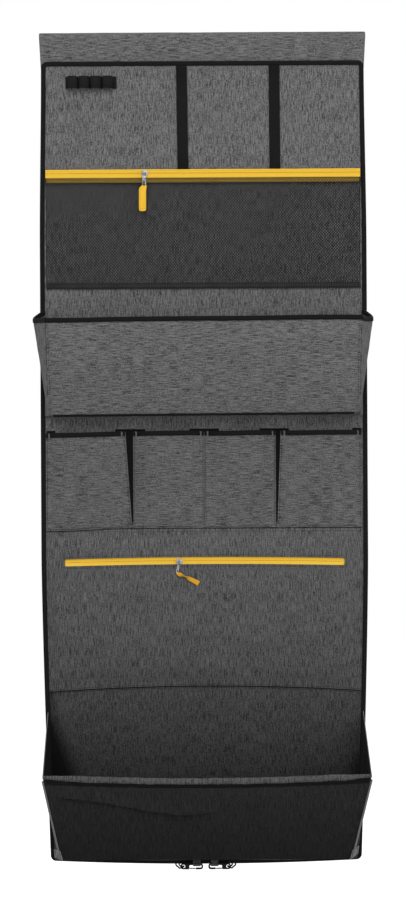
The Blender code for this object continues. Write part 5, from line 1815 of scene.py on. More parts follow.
@dataclass
class WindowZip(Zip):
    """The zip in the lower panel's window, with a twisted ribbon on its pull."""

    name: str = "window_zip"
    middle_z: float = -0.7088
    slider_x: float = -0.0350
    base: float = -0.0006
    length: float = 0.3860
    coil_length: float = 0.3860
    margin: float = 0.0050
    height: float = 0.0105
    bail_width: float = 0.0010
    pull_width: float = 0.0033
    eye_width: float = 0.0019
    lean: float = 0.22
    ribbon_reach: float = 0.0300
    ribbon_drop: float = 0.0135
    ribbon_width: float = 0.0068

    def build(self) -> None:
        """Builds the tape, the coil, the slider, the pull and the ribbon."""
        self.tape_ring()
        self.teeth()
        self.slider()
        self.pull_piece()
        self.tab_loop()
        self.ribbon()

    def shape(self, obj: Thing) -> Thing:
        """Returns a piece bowed with the window zip."""
        return arch(obj)

    def tape_ring(self) -> None:
        """Makes the tape, joined at both ends, with its slot."""
        near, far = self.levels()["tape"]
        half, high = self.length / 2 + self.margin, self.height / 2 + self.margin / 2

        def place(u: float, v: float) -> Spot:
            """Returns the point at u and v."""
            x, z = (2 * u - 1) * half, self.middle_z + (1 - 2 * v) * high
            return x, level(far - 0.00003 + 0.00006 * ripple(x, z, 0.02, 8.0)), z

        obj = lay_cloth("strip_window_zip_tape", 200, 14, place)
        thicken(obj, self.tape - 0.0001)
        slot = block("slot", (-self.length / 2 + self.margin, level(far + 0.002), self.middle_z - self.slot / 2),
            (self.length / 2 - self.margin, level(near - 0.002), self.middle_z + self.slot / 2))
        bevel_along(slot, 1, self.slot * 0.45, 4)
        cut(obj, [slot])
        self.dress(arch(obj), WINDOW_TAPE, "window_zip_tape", angle=60)

    def ribbon(self) -> None:
        """Makes the twisted ribbon that swings off to the right."""
        depth, (start, bar) = self.levels()["pivot"][0], self.bar()
        shoulder = bar - self.pull / 2 - GAP - self.tab / 4

        def middle(s: float) -> Vector:
            """Returns a point of the ribbon's middle line."""
            out = depth + 0.0016 * math.sin(math.pi * min(s * 1.1, 1.0))
            return Vector((start + self.ribbon_reach * (0.8 * s + 0.2 * s * s), level(out),
                shoulder - self.ribbon_drop * max(s, 0.0) ** 1.4))

        rings = []
        count = 46
        for n in range(count + 1):
            s = n / count
            run = (middle(min(s + 0.01, 1.01)) - middle(s - 0.01)).normalized()
            flat = run.cross(Vector((0, 1, 0))).normalized()
            turn = math.radians(78) * math.exp(-((s - 0.40) / 0.16) ** 2)
            side = flat * math.cos(turn) + Vector((0, -1, 0)) * math.sin(turn)
            out = side.cross(run).normalized()
            wide = self.ribbon_width / 2 * mix(0.70, 1.0, abs(s - 0.4) / 0.6) * mix(0.55, 1.0, ease(s * 6))
            thick = self.tab * 0.38
            ring = []
            for across, lift in ((-1, -0.5), (-0.5, -1), (0.5, -1), (1, -0.5), (1, 0.5), (0.5, 1), (-0.5, 1),
                    (-1, 0.5)):
                ring.append(middle(s) + side * wide * across + out * thick * lift)
            rings.append(ring)
        self.dress(skin("ribbon_window_zip_tab", rings), RIBBON, "window_zip_tab", "window_zip_tab", angle=55)


# ---- mesh pocket


@dataclass
class MeshPocket(Sewn):
    """The knitted net under the top zip, and its hem."""

    top: float = -0.1810
    foot: float = -0.3330
    hem: float = 0.0085
    width: float = 0.4330
    belly: float = 0.0052
    side_run: float = 0.0300
    hidden: float = 0.0060
    rise: float = 0.0005
    tape_far: float = 0.0035
    net: float = 0.0006
    cell_width: float = 0.0037
    cell_height: float = 0.0044
    yarn: float = 0.00081
    hem_thickness: float = 0.0012
    stitch: Thread = Thread(pitch=0.0028, length=0.0022)

    def depth(self, x: float, z: float) -> float:
        """Returns how far the net's outer face stands in front of the panel.

        Args:
            x: Place across.
            z: Place up.

        Returns:
            The depth, in metres.
        """
        down = (self.top - z) / (self.top - self.foot - self.hem - GAP)
        top, flat = self.tape_far + GAP + self.net, GAP + self.net
        belly = plateau(min(max(down, 0.0), 1.0), 6)
        start = ease((self.top - self.hidden - z) / self.side_run)
        head = top + (flat - top) * start
        side = ease((self.width / 2 - abs(x)) / self.side_run)
        full = self.belly + GAP + self.net
        bulge = (top + (full - top) * start) if down < 0.5 else flat + (full - flat) * belly
        sway = 0.0007 * ripple(x, z, 0.06, 2.7) * side * belly * start
        return head + (bulge - head) * side + sway

    def build(self) -> None:
        """Builds the net, its hem and their stitches."""
        obj = self.knit()
        self.dress(obj, NET, "mesh_pocket", angle=80)
        half = self.width / 2
        base = 2 * GAP + self.net

        def place(u: float, v: float) -> Spot:
            """Returns the point at u and v."""
            x, z = (2 * u - 1) * half, mix(self.foot + self.hem, self.foot, v)
            round_over = 0.0004 * (2 * v - 1) ** 4
            return x, level(base + self.hem_thickness + 0.0002 - round_over), z + 0.00015 * ripple(x, 0, 0.03, 1.0)

        self.cloth("strip_mesh_hem", (160, 8), place, NET_HEM, "mesh_hem", wall=self.hem_thickness, rim=(0.0003, 2))
        y = level(base + self.hem_thickness + 0.0002)
        rows = [[Vector(((half - 0.002) * (2 * s - 1), y, self.foot + up)) for s in steps(80)]
            for up in (0.0016, self.hem - 0.0016)]
        rows.append([Vector((x, level(self.depth(x, self.top - 0.0010) + 0.0001), self.top - 0.0010))
            for x in ((half - 0.002) * (2 * s - 1) for s in steps(80))])
        self.dress(self.stitch.sew("stitch_mesh_pocket", rows), BLACK_THREAD)

    def knit(self) -> Thing:
        """Returns the net: upright yarns that zigzag from one neighbour to the other.

        Returns:
            The new object.
        """
        spacing = self.cell_width / 2
        count = int(self.width / spacing) + 1
        start = -spacing * (count - 1) / 2
        rows = int((self.top + self.rise - self.foot - 0.002) / (self.cell_height / 2))
        points: list[Spot] = []
        faces: list[tuple[int, ...]] = []
        for n in range(count):
            base = len(points)
            for row in range(rows + 1):
                z = self.top + self.rise - row * self.cell_height / 2
                x = start + n * spacing + (spacing * 0.44 if (row + n) % 2 else -spacing * 0.44)
                x = min(max(x, self.yarn / 2 - self.width / 2), self.width / 2 - self.yarn / 2)
                out, wide = self.depth(x, z), self.yarn / 2 * (1.9 if row < 4 else 1.0)
                points += [(x - wide, level(out - 0.0004), z), (x, level(out), z), (x + wide, level(out - 0.0004), z)]
                if row:
                    last = base + (row - 1) * 3
                    this = base + row * 3
                    faces += [(last, last + 1, this + 1, this)[::-1], (last + 1, last + 2, this + 2, this + 1)[::-1],
                        (last + 2, last, this, this + 2)[::-1]]
            faces += [(base, base + 1, base + 2)[::-1], (base + rows * 3, base + rows * 3 + 1, base + rows * 3 + 2)]
        return add_mesh("net_mesh_pocket", points, faces)


# ---- bound edges


@dataclass(frozen=True)
class EdgeTape:
    """A folded tape over the top edge of a cloth."""

    height: float = 0.0066
    wall: float = 0.0008

    def bind(self, name: str, line: Sequence[Vector], turn: int = 1) -> Thing:
        """Makes the tape along a line on the cloth's outer surface.

        Args:
            name: The piece's name.
            line: The line, at the tape's top.
            turn: 1 if the cloth's outside is to the right of the line's run seen from above, else -1.

        Returns:
            The new object.
        """
        inner, outer = CLOTH / 2 + GAP, CLOTH / 2 + GAP + self.wall
        foot = -self.height
        section = ((outer, foot), (outer + 0.00025, foot * 0.62), (outer + 0.0001, foot * 0.22),
            (outer * 0.72, -0.00025), (0.0, 0.0), (-outer * 0.72, -0.00025), (-outer, foot * 0.2),
            (-outer - 0.0001, foot * 0.6), (-outer, foot), (-inner, foot), (-inner, -self.wall), (inner, -self.wall),
            (inner, foot))
        rings = []
        for n, spot in enumerate(line):
            first, last = max(n, 1), min(n + 1, len(line) - 1)
            runs = (line[first] - line[first - 1], line[last] - line[last - 1])
            before, after = (Vector((run.y, -run.x, 0)).normalized() * turn for run in runs)
            out = (before + after) / (1 + before.dot(after))
            place = spot - out * (CLOTH / 2)
            rings.append([place + out * side + Vector((0, 0, up)) for side, up in section])
        return skin(name, rings)

    def front(self, line: Sequence[Vector], drop: float, turn: int = 1) -> list[Vector]:
        """Returns a line on the tape's outer face, this far below its top.

        Args:
            line: The line at the tape's top.
            drop: How far below it.
            turn: As in bind.

        Returns:
            The points.
        """
        out = []
        for n, spot in enumerate(line):
            run = line[min(n + 1, len(line) - 1)] - line[max(n - 1, 0)]
            side = Vector((run.y, -run.x, 0)).normalized() * turn
            out.append(spot + side * (GAP + self.wall + 0.0002) - Vector((0, 0, drop)))
        return out


TOP_TAPE_EDGE = EdgeTape()


# ---- shelf pocket


@dataclass
class ShelfPocket(Sewn):
    """The shelf pocket: a front with its floor, two bellows gussets and their bindings."""

    width: float = 0.4250
    top: float = -0.3756
    foot: float = -0.5080
    back_top: float = -0.3616
    depth: float = 0.0570
    floor_depth: float = 0.0200
    belly: float = 0.0030
    corner: float = 0.0018
    fold_out: tuple[float, float] = (0.0191, 0.0177)
    fold_out_foot: float = 0.0010
    binding: float = 0.0066
    on_binding: float = 0.0014
    tilt: float = 0.0040
    tilt_foot: float = 0.0050
    level_x: float = 0.1300
    front_share: float = 0.86
    stitch: Thread = Thread()

    def front_place(self, u: float, v: float) -> Spot:
        """Returns the front's outer surface, and from front_share of v on its floor.

        Args:
            u: Share across.
            v: Share down.

        Returns:
            The point.
        """
        across = 2 * u - 1
        x = self.width / 2 * across
        head = self.top - TUCK
        fold, corner = self.top - self.binding - GAP, self.foot + self.corner
        bow = self.belly * plateau(u, 2)
        if v <= self.front_share:
            z = mix(head, corner, v / self.front_share)
            fall = min(max((fold - z) / (fold - corner), 0.0), 1.0)
            depth = mix(self.depth, self.floor_depth, fall) + bow * math.cos(fall)
            free = ease(fall * 6) * ease((1 - fall) * 5)
            depth += (0.0009 * ripple(x, z * 1.6, 0.07, 3.3) + 0.0004 * ripple(x, z * 1.5, 0.02, 1.9)
                + 0.0007 * crease(x * 0.6, z, 0.05, 6.2)) * free
        else:
            start = self.floor_depth + bow * math.cos(1)
            run = (v - self.front_share) / (1 - self.front_share)
            depth = mix(start, 2 * GAP, run)
            z = corner - self.corner * ease(min(run * 3, 1))
        lean = mix(self.tilt, self.tilt_foot, v) * (1 - max(v - self.front_share, 0.0) / (1 - self.front_share))
        return x, level(depth), z + lean * (x + self.level_x)

    def gusset_line(self, depth: float, out: float) -> list[Spot]:
        """Returns a gusset's line from the panel to the front: x, depth, z.

        Args:
            depth: The front's depth.
            out: How far the fold stands out.

        Returns:
            The line's points.
        """
        back_x = OUTLINE.half(self.top) - OUTLINE.binding + GAP
        front_x = self.width / 2 + GAP + 0.0008 + GAP
        fold_x = self.width / 2 + out
        rise = self.back_top - self.top
        return [(back_x, self.on_binding, self.back_top), (back_x + (fold_x - back_x) * 0.55, depth * 0.25,
            self.top + rise * 0.6), (fold_x, depth * 0.49, self.top + rise * 0.1),
            ((front_x + fold_x) / 2, depth * 0.74, self.top), (front_x, depth - CLOTH, self.top)]

    def gusset_place(self, side: int) -> Place:
        """Returns the outer surface of a gusset on one side.

        Args:
            side: -1 for the left, 1 for the right.

        Returns:
            The place by u and v.
        """
        lines = []
        for depth, out in ((self.depth, self.fold_out[side > 0]), (self.floor_depth, self.fold_out_foot)):
            lines.append(smooth([Vector(p) for p in self.gusset_line(depth, out)], 6))

        def place(u: float, v: float) -> Spot:
            """Returns the point at u and v."""
            along = u if side < 0 else 1 - u
            spot = along * (len(lines[0]) - 1)
            n = min(int(spot), len(lines[0]) - 2)
            head, base = (line[n].lerp(line[n + 1], spot - n) for line in lines)
            fall = max(v - 0.06, 0.0) / 0.94
            x, depth = mix(head.x, base.x, fall), mix(head.y, base.y, fall)
            top = head.z - TUCK
            z = mix(top, self.foot + GAP, v)
            free = plateau(along, 4) * ease(v * 8 - 0.6) * ease((1 - v) * 6)
            x += (0.0004 * ripple(depth * 3, z, 0.045, 7.0) + 0.0003 * crease(depth * 2, z, 0.04, 2.0)) * free
            return side * x, level(depth), z
        return place

    def build(self) -> None:
        """Builds the front, the gussets, their tapes and stitches, and a dark roll under the front's foot that is
        painted shadow.
        """
        self.cloth("cloth_shelf_front", (170, 64), self.front_place, SHELF, "shelf_front", "stretched", "shelf_front")
        line = [Vector(self.front_place(s, 0)) for s in steps(100)]
        line = [Vector((p.x, p.y, p.z + TUCK + 0.0006 * ripple(p.x, 0, 0.09, 2.0))) for p in line]
        ends = [Vector((side * (self.width / 2 + 0.0022), p.y, p.z)) for side, p in ((-1, line[0]), (1, line[-1]))]
        line = [ends[0]] + line + [ends[1]]
        self.dress(TOP_TAPE_EDGE.bind("tape_shelf_binding", line), POCKET_BINDING, "shelf_binding", "shelf_front",
            angle=60)
        rows = [TOP_TAPE_EDGE.front(line, self.binding - 0.0016)]
        half = self.width / 2 - 0.0025
        for side in (-1, 1):
            rows.append([laid(self.front_place(0.5 + side * half / self.width, v))
                for v in (0.08 + 0.77 * s for s in steps(40))])
        self.dress(self.stitch.sew("stitch_shelf_front", rows), BLACK_THREAD, body="shelf_front")
        # Painted shadow: a dark roll under the front's foot stands in for the shadow beneath the shelf.
        seam = [Vector(self.front_place(0.016 + 0.966 * s, self.front_share)) for s in steps(80)]
        self.dress(tube("shadow_strip_shelf_floor", [Vector((p.x, p.y + 0.0010, p.z - 0.0010)) for p in seam], 0.0018, 8),
            POCKET_BINDING, body="shelf_front")
        self.gussets()

    def gussets(self) -> None:
        """Builds both gussets and the tapes on their tops."""
        start, end = (0, level(0.003), -0.45), (0, level(self.depth - 0.004), -0.45)
        for side, name in SIDES:
            place = self.gusset_place(side)
            obj = self.cloth(f"cloth_shelf_gusset_{name}", (36, 48), place, GUSSET, f"shelf_gusset_{name}",
                "gathered", "")
            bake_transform(obj)
            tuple(start)
            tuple(end)
            line = self.gusset_line(self.depth, self.fold_out[side > 0])
            route = smooth([Vector((side * x, level(depth), z)) for x, depth, z in line], 5)
            spare = CLOTH + 0.0008
            route[0] = route[0] + (route[1] - route[0]).normalized() * spare
            obj = self.dress(TOP_TAPE_EDGE.bind(f"tape_shelf_gusset_{name}", route, -side), POCKET_BINDING,
                f"shelf_gusset_binding_{name}", "", angle=60)
            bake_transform(obj)
            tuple(start)
            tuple(end)


# ---- row of four pockets


@dataclass
class PocketRow(Sewn):
    """Four pockets in a row. The outer two have a pleat as their inner side wall, black with painted shade."""

    top: float = -0.5289
    foot: float = -0.6624
    left: float = -0.2180
    right: float = 0.2163
    seam_left: float = -0.0985
    seam_right: float = 0.0990
    pleat_left: float = 0.0097
    pleat_right: float = 0.0060
    outer_depth: float = 0.0150
    inner_depth: float = 0.0110
    pleat_depth: float = 0.0070
    pleat_reach: float = 0.94
    binding: float = 0.0066
    seats: tuple[tuple[float, float], ...] = ((-0.2172, -0.2050), (-0.1225, -0.0810), (-0.0205, 0.0205),
        (0.0760, 0.1165), (0.2040, 0.2163))
    seat_rise: float = 0.0030
    thin: float = 0.0006
    stitch: Thread = Thread()

    def sag(self, x: float, v: float) -> float:
        """Returns how much lower the first pocket hangs towards its outer edge."""
        return mix(0.0022, 0.0036, v) * ease((self.seam_left - x) / 0.11)

    def face(self, left: float, right: float, foot_left: float, foot_right: float, full: float,
            open_left: float = 0.0, open_right: float = 0.0, seed: float = 0.0) -> Place:
        """Returns the outer surface of a pocket's front, widest open at its top.

        Args:
            left: Its left edge at the top.
            right: Its right edge at the top.
            foot_left: Its left edge at the foot.
            foot_right: Its right edge at the foot.
            full: How far it swells.
            open_left: How far its left edge stands off the panel at the top.
            open_right: How far its right edge stands off the panel at the top.
            seed: Picks its creases.

        Returns:
            The place by u and v.
        """
        def place(u: float, v: float) -> Spot:
            """Returns the point at u and v."""
            start, end = mix(left, foot_left, v), mix(right, foot_right, v)
            x = mix(start, end, u)
            top = self.top - TUCK
            z = mix(top, self.foot, v)
            fold = self.top - self.binding - GAP
            rise = max(min((z - self.foot) / (fold - self.foot), 1.0), 0.0) ** 0.8
            edge = (open_left * (1 - u) + open_right * u) * rise
            swell = full * rise * plateau(u, 4)
            free = plateau(u, 6) * ease(v * 9 - 0.7) * ease((1 - v) * 7)
            slack = (0.0009 * ripple(x, z * 1.3, 0.045, seed) + 0.0010 * crease(x, z * 0.7, 0.045, seed + 1.0)
                + 0.00035 * ripple(x, z, 0.016, seed + 2.0)) * free
            pull = 0.0010 * math.sin(x * 260 + seed) * ease((v - 0.80) * 5) * ease((1 - v) * 14) * plateau(u, 8)
            return x, level(GAP + CLOTH + max(edge, edge + (swell - edge) * plateau(u, 4)) + slack + pull * 0.6
                + 0.0003 * free), z - self.sag(x, v)
        return place

    def faces(self) -> tuple[tuple[str, Place], ...]:
        """Returns the four pockets' names and surfaces.

        Returns:
            Each pocket's number and its place by u and v.
        """
        seam, gap = 0.0006, 0.0012
        fold_left, fold_right = self.seam_left - self.pleat_left, self.seam_right + self.pleat_right
        left, right = self.seam_left + seam, self.seam_right - seam
        first = self.face(self.left, fold_left, self.left, self.seam_left - gap, self.outer_depth,
            open_right=self.pleat_depth, seed=1.0)
        second = self.face(left, -seam / 2, left, -seam / 2, self.inner_depth, seed=5.0)
        third = self.face(seam / 2, right, seam / 2, right, self.inner_depth, seed=9.0)
        fourth = self.face(fold_right, self.right, self.seam_right + gap, self.right, self.outer_depth,
            open_left=self.pleat_depth, seed=14.0)
        return ("1", first), ("2", second), ("3", third), ("4", fourth)

    def build(self) -> None:
        """Builds the pockets, their tapes, the pleats and the stitches."""
        rows, tacks = [], []
        for number, place in self.faces():
            self.cloth(f"cloth_pocket_{number}", (60, 60), place, POCKET, f"pocket_{number}", "stretched")
            line = [Vector(place(0.004 + 0.992 * s, 0)) for s in steps(60)]
            line = [Vector((p.x, p.y, p.z + TUCK + 0.0005 * ripple(p.x, 0, 0.05, 4.0))) for p in line]
            self.dress(TOP_TAPE_EDGE.bind(f"tape_pocket_{number}", line), POCKET_BINDING, f"pocket_binding_{number}",
                angle=60)
            rows.append(TOP_TAPE_EDGE.front(line, self.binding - 0.0015))
            rows.append([laid(place(s, 0.985)) for s in steps(60)[1:-1]])
            for u in (0.018, 0.982):
                rows.append([laid(place(u, v)) for v in (0.08 + 0.9 * s for s in steps(40))])
                end = Vector(place(0.045 if u < 0.5 else 0.955, 0))
                tacks.append((Vector((end.x, end.y - 0.0016, end.z - 0.0035)), Vector((0, 0, 0.0036))))
        # Painted shadow: a thin dark roll along the pockets' foot stands in for the shade under their folded edge.
        foot = [Vector((x, level(GAP + 0.0005), self.foot - self.sag(x, 1) - 0.0004))
            for x in (mix(self.left, self.right, s) for s in steps(60))]
        self.dress(tube("shadow_line_pocket_foot", foot, 0.0005, 6), POCKET_BINDING)
        self.dress(self.stitch.sew("stitch_pocket_row", rows), BLACK_THREAD)
        self.dress(self.stitch.bar_tack("tack_pocket_row", tacks), LIGHT_THREAD)
        self.pleats()
        seats = []
        for start, end in self.seats:
            z = self.top - self.sag(start, 0)
            seats.append(block("seat", (start, level(GAP + 0.0008), z - 0.0030),
                (end, level(-0.0002), z + self.seat_rise)))
        obj = join("tape_pocket_seats", seats)
        soften(obj, 0.0002, 2, 60)
        self.dress(obj, POCKET_BINDING)

    def pleats(self) -> None:
        """Builds the two pleats, which close the outer pockets towards the middle."""
        for name, fold, seam in (("left", self.seam_left - self.pleat_left, self.seam_left),
                ("right", self.seam_right + self.pleat_right, self.seam_right)):
            toward = 1 if seam > fold else -1

            def place(u: float, v: float, fold: float = fold, seam: float = seam, toward: int = toward) -> Spot:
                """Returns the point at u and v."""
                across = u if toward > 0 else 1 - u
                near = fold + (seam - toward * 0.0012 - fold) * v * self.pleat_reach + toward * 0.0006
                x = mix(near, seam + toward * 0.0010, across)
                depth = (GAP + self.thin + (self.pleat_depth - CLOTH) * (1 - across)
                    * (1 - v * self.pleat_reach) ** 0.8)
                return x, level(depth), self.top + (self.foot - self.top) * v * self.pleat_reach

            # The pleat's black cloth is painted shade of the fold's inside.
            self.cloth(f"cloth_pleat_{name}", (12, 40), place, SHADED_PLEAT, f"pleat_{name}", "folded", wall=self.thin)


# ---- zipped pocket in the lower panel


@dataclass
class LowerPanel(Sewn):
    """The cloth of the zipped pocket, with its window, and the bag behind it."""

    seam: float = 0.0006
    middle_seam: float = -0.6670
    window_z: float = -0.7088
    window_length: float = 0.3860
    window_height: float = 0.0114
    corner: float = 0.0030
    tape_margin: float = 0.0050
    tape_far: float = 0.0029
    belly: float = 0.0078
    ramp: float = 0.0300
    inset: float = TUCK
    stitch: Thread = Thread()

    def depth(self, x: float, z: float) -> float:
        """Returns how far the cloth stands in front of the face.

        Args:
            x: Place across.
            z: Place up.

        Returns:
            The depth, in metres.
        """
        at_zip = self.tape_far + GAP + CLOTH
        edge = OUTLINE.bound(z)
        flat = self.window_length / 2 + self.tape_margin + 2 * GAP
        side = ease((edge - abs(x)) / (edge - flat))
        zip_foot = self.window_z - self.window_height
        over = ease((self.middle_seam - self.seam - z) / (self.middle_seam - self.window_z - self.window_height))
        fall = min(max((zip_foot - z) / (zip_foot - OUTLINE.curved_seam), 0.0), 1.0)
        belly = math.sin(math.pi * fall) ** 2
        under = ease((z - OUTLINE.seam_z(x)) / self.ramp)
        free = ease(fall * 7) * ease((1 - fall) * 6) * side
        slack = (0.0012 * ripple(x * 1.2, z, 0.055, 11.0) + 0.0015 * crease(x * 0.8, z, 0.06, 12.5)
            + 0.0004 * ripple(x, z, 0.018, 3.0)) * free
        return side * over * under * (at_zip + (self.belly - at_zip) * belly) + slack

    def build(self) -> None:
        """Builds the cloth with its window, the welt round the window, the bag and the stitches."""
        top = self.middle_seam - self.seam

        def place(u: float, v: float) -> Spot:
            """Returns the point at u and v."""
            x = (2 * u - 1) * (OUTLINE.half(-0.78) - self.inset)
            z = mix(top, OUTLINE.seam_z(x), v)
            x = (2 * u - 1) * (OUTLINE.half(z) - self.inset)
            return x, level(self.depth(x, z)), z

        obj = lay_cloth("cloth_lower_panel", 180, 90, place)
        thicken(obj, CLOTH)
        window = block("window", (-self.window_length / 2, level(0.02), self.window_z - self.window_height / 2),
            (self.window_length / 2, level(-0.0016), self.window_z + self.window_height / 2))
        bevel_along(window, 1, self.corner, 5)
        cut(obj, [window])
        self.dress(arch(obj), LOWER, "lower_panel", angle=60)
        declare_cloth(place)
        line = self.rim(0.0)
        self.dress(arch(tube("welt_window", line, 0.00085, 8, 0.75, closed=True)), LOWER)
        foot = [(x, OUTLINE.seam_z(x) + 0.0025) for x in (OUTLINE.bound(-0.88) * (2 * s - 1) for s in steps(120))]
        rows = [self.rim(0.0022), [Vector((x, level(self.depth(x, z)) - LAID, z)) for x, z in foot]]
        self.dress(arch(self.stitch.sew("stitch_lower_panel", rows)), BLACK_THREAD)
        self.keep("zip_pocket_bag", BAG)

    def rim(self, out: float) -> list[Vector]:
        """Returns the window's rim on the cloth's surface, moved outwards.

        Args:
            out: How far it is moved.

        Returns:
            The rim's points.
        """
        radius = self.corner + out
        reach, rise = self.window_length / 2 - self.corner, self.window_height / 2 - self.corner
        spots = []
        for side, turn in ((1, 90), (-1, 270)):
            spots += [(mix(-reach, reach, s) * side, (rise + radius) * side) for s in steps(120)[:-1]]
            for high, start in ((side, turn), (-side, turn - 90)):
                spots += [(reach * side + radius * math.cos(t), rise * high + radius * math.sin(t))
                    for t in (math.radians(start - 15 * n) for n in range(7))]
        return [Vector((x, level(self.depth(x, self.window_z + up) - 0.0002), self.window_z + up)) for x, up in spots]


# ---- bin


@dataclass
class Bin(Sewn):
    """The bin at the foot: a front, a floor and two gussets with slack creases."""

    depth: float = 0.1000
    floor_depth: float = 0.0765
    back_top: float = -0.9160
    front_top: float = -0.9885
    front_foot: float = -1.1030
    back_foot: float = -1.1185
    top_width: float = 0.4362
    shift: float = 0.0016
    foot_width: float = 0.3890
    back_width: float = 0.4340
    back_foot_width: float = 0.4170
    droop: float = 0.0060
    belly: float = 0.0050
    hem_height: float = 0.0075
    hem_roll: float = 0.0046
    piping: float = 0.0013
    gusset_belly: float = 0.0040
    on_binding: float = 0.0014
    patch_width: float = 0.0120
    patch_height: float = 0.0138
    stitch: Thread = Thread()

    def front_place(self, u: float, v: float) -> Spot:
        """Returns the front's outer surface.

        Args:
            u: Share across.
            v: Share down.

        Returns:
            The point.
        """
        across = 2 * u - 1
        top = self.front_top - self.hem_height / 2 - self.droop * (1 - across * across)
        half = mix(self.top_width, self.foot_width, v) / 2
        x = half * across + self.shift * (1 - v)
        z = mix(top, self.front_foot, v)
        depth = mix(self.depth, self.floor_depth, v) + self.belly * math.sin(math.pi * v) * (1 - across * across)
        free = ease(v * 6) * ease((1 - v) * 5) * ease((1 - abs(across)) * 9)
        slope = 1 if x < 0 else -1
        drape = 0.0016 * crease((x + slope * z) * 0.9, (z - slope * x) * 0.35, 0.045, 8.0)
        away = z - self.fold_z(x)
        fold = ease((0.03 - x) / 0.06) * ease((across + 0.97) * 9) * (1.0 if away > 0 else 0.0)
        drape = drape * 0.5 + 0.0042 * math.exp(-(away / 0.008) ** 2) * fold
        z -= 0.0034 * math.exp(-(away / 0.0045) ** 2) * fold
        depth += (drape + 0.0012 * ripple(x, z * 0.7, 0.05, 4.4) + 0.0004 * ripple(x, z, 0.015, 5.0)) * free
        return x, level(depth), z

    def fold_z(self, x: float) -> float:
        """Returns the height of the long fold that hangs from the front's left corner."""
        return mix(-1.0365, -1.0140, ease((-x - 0.02) / 0.17))

    def gusset_place(self, side: int) -> Place:
        """Returns the outer surface of the gusset on one side.

        Args:
            side: -1 for the left, 1 for the right.

        Returns:
            The place by u and v.
        """
        def place(u: float, v: float) -> Spot:
            """Returns the point at u and v."""
            along = u if side < 0 else 1 - u
            back_x = mix(self.back_width, self.back_foot_width, v) / 2
            front_x = mix(self.top_width / 2 + side * self.shift, self.foot_width / 2, v) - 0.0002
            front = mix(self.depth, self.floor_depth, v) - CLOTH - 0.0001
            back_z = mix(self.back_top, self.back_foot, v)
            front_z = mix(self.front_top, self.front_foot, v)
            belly = self.gusset_belly * math.sin(math.pi * along) * math.sin(math.pi * v)
            free = plateau(along, 4) * ease(v * 7) * ease((1 - v) * 6)
            slack = (0.0016 * ripple(along * 0.09, v * 0.15, 0.05, 3.0 + side) + 0.0018 * crease(along * 0.09,
                v * 0.15, 0.05, 6.0 + side)) * free
            x = mix(back_x, front_x, along) + belly + slack
            return side * x, level(mix(self.on_binding, front, along)), mix(back_z, front_z, along)
        return place

    def floor_place(self, u: float, v: float) -> Spot:
        """Returns the floor's underside, from its front to its back.

        Args:
            u: Share across.
            v: Share from front to back.

        Returns:
            The point.
        """
        back = self.on_binding + CLOTH / 2
        run = 1 - v
        depth = mix(back, self.floor_depth - CLOTH - GAP * 2, run)
        half = mix(self.back_foot_width / 2 - CLOTH - GAP, self.foot_width / 2 - CLOTH - GAP, run)
        x = (2 * u - 1) * half
        z = mix(self.back_foot, self.front_foot + GAP, run)
        sag = (0.0010 + 0.0006 * ripple(x, depth, 0.06, 2.2)) * math.sin(math.pi * run) * plateau(u, 4)
        return x, level(depth), z - sag

    def build(self) -> None:
        """Builds the front, the floor, the gussets, the hem, the pipings and the corner patches, and a light roll of
        painted highlight on each gusset's top.
        """
        self.cloth("cloth_bin_front", (180, 90), self.front_place, BIN, "bin_front", "stretched", "bin_front")
        self.cloth("cloth_bin_floor", (120, 30), self.floor_place, SHADED_BIN_SIDE, "bin_floor", "stretched", "bin_floor")
        for side, name in SIDES:
            place = self.gusset_place(side)
            obj = self.cloth(f"cloth_bin_gusset_{name}", (48, 70), place, SHADED_BIN_SIDE, f"bin_gusset_{name}", "stretched")
            level(self.on_binding)
            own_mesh(obj)
            # Painted highlight: a thin light roll along each gusset's top stands in for the light that its edge
            # catches.
            rim = [Vector(place(s if side < 0 else 1 - s, 0.0)) for s in steps(40)]
            obj = self.dress(tube(f"highlight_roll_bin_gusset_{name}", rim, 0.0006, 6), PIPING)
            level(self.on_binding)
            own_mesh(obj)
        self.hem()
        self.pipings()
        self.patches()

    def hem(self) -> None:
        """Makes the rolled hem along the front's top, with the folds of its turn, and a dark strip under it that is
        painted shadow.
        """
        line = []
        for s in steps(200):
            x, y, z = self.front_place(s, 0)
            lift = 0.00035 * ripple(x, 0, 0.022, 7.0)
            line.append(Vector((x, y + CLOTH / 2, z + self.hem_height / 2 + GAP + lift)))
        rings = []
        for spot in line:
            ring = []
            for k in range(14):
                turn = 2 * math.pi * k / 14
                pinch = 1 + 0.10 * ripple(spot.x * 1.5, turn * 0.004, 0.012, 9.0)
                pinch *= mix(0.75, 1.28, ease((1 - abs(spot.x - self.shift) / (self.top_width / 2)) * 5))
                flat = 0.86 + 0.14 * abs(math.cos(turn))
                out = self.hem_roll / 2 * math.cos(turn) * pinch
                up = self.hem_height / 2 * math.sin(turn) * pinch * flat
                ring.append(spot + Vector((0, out, up)))
            rings.append(ring)
        self.dress(skin("roll_bin_hem", rings), HEM, "bin_hem", "bin_front", angle=60)
        # Painted shadow: a dark flat strip under the hem stands in for its shadow on the front.
        low = [spot + Vector((0, -0.0010, -self.hem_height / 2 - 0.0024)) for spot in line[2:-2]]
        self.dress(tube("shadow_strip_bin_hem", low, 0.0024, 8, 0.3), SHADED_BIN_SIDE, body="bin_front")
        rows = [[spot + Vector((0, -self.hem_roll / 2 + 0.0002, -self.hem_height / 2 + 0.0016))
            for spot in line[1:-1]]]
        self.dress(self.stitch.sew("stitch_bin_hem", rows), BLACK_THREAD, body="bin_front")

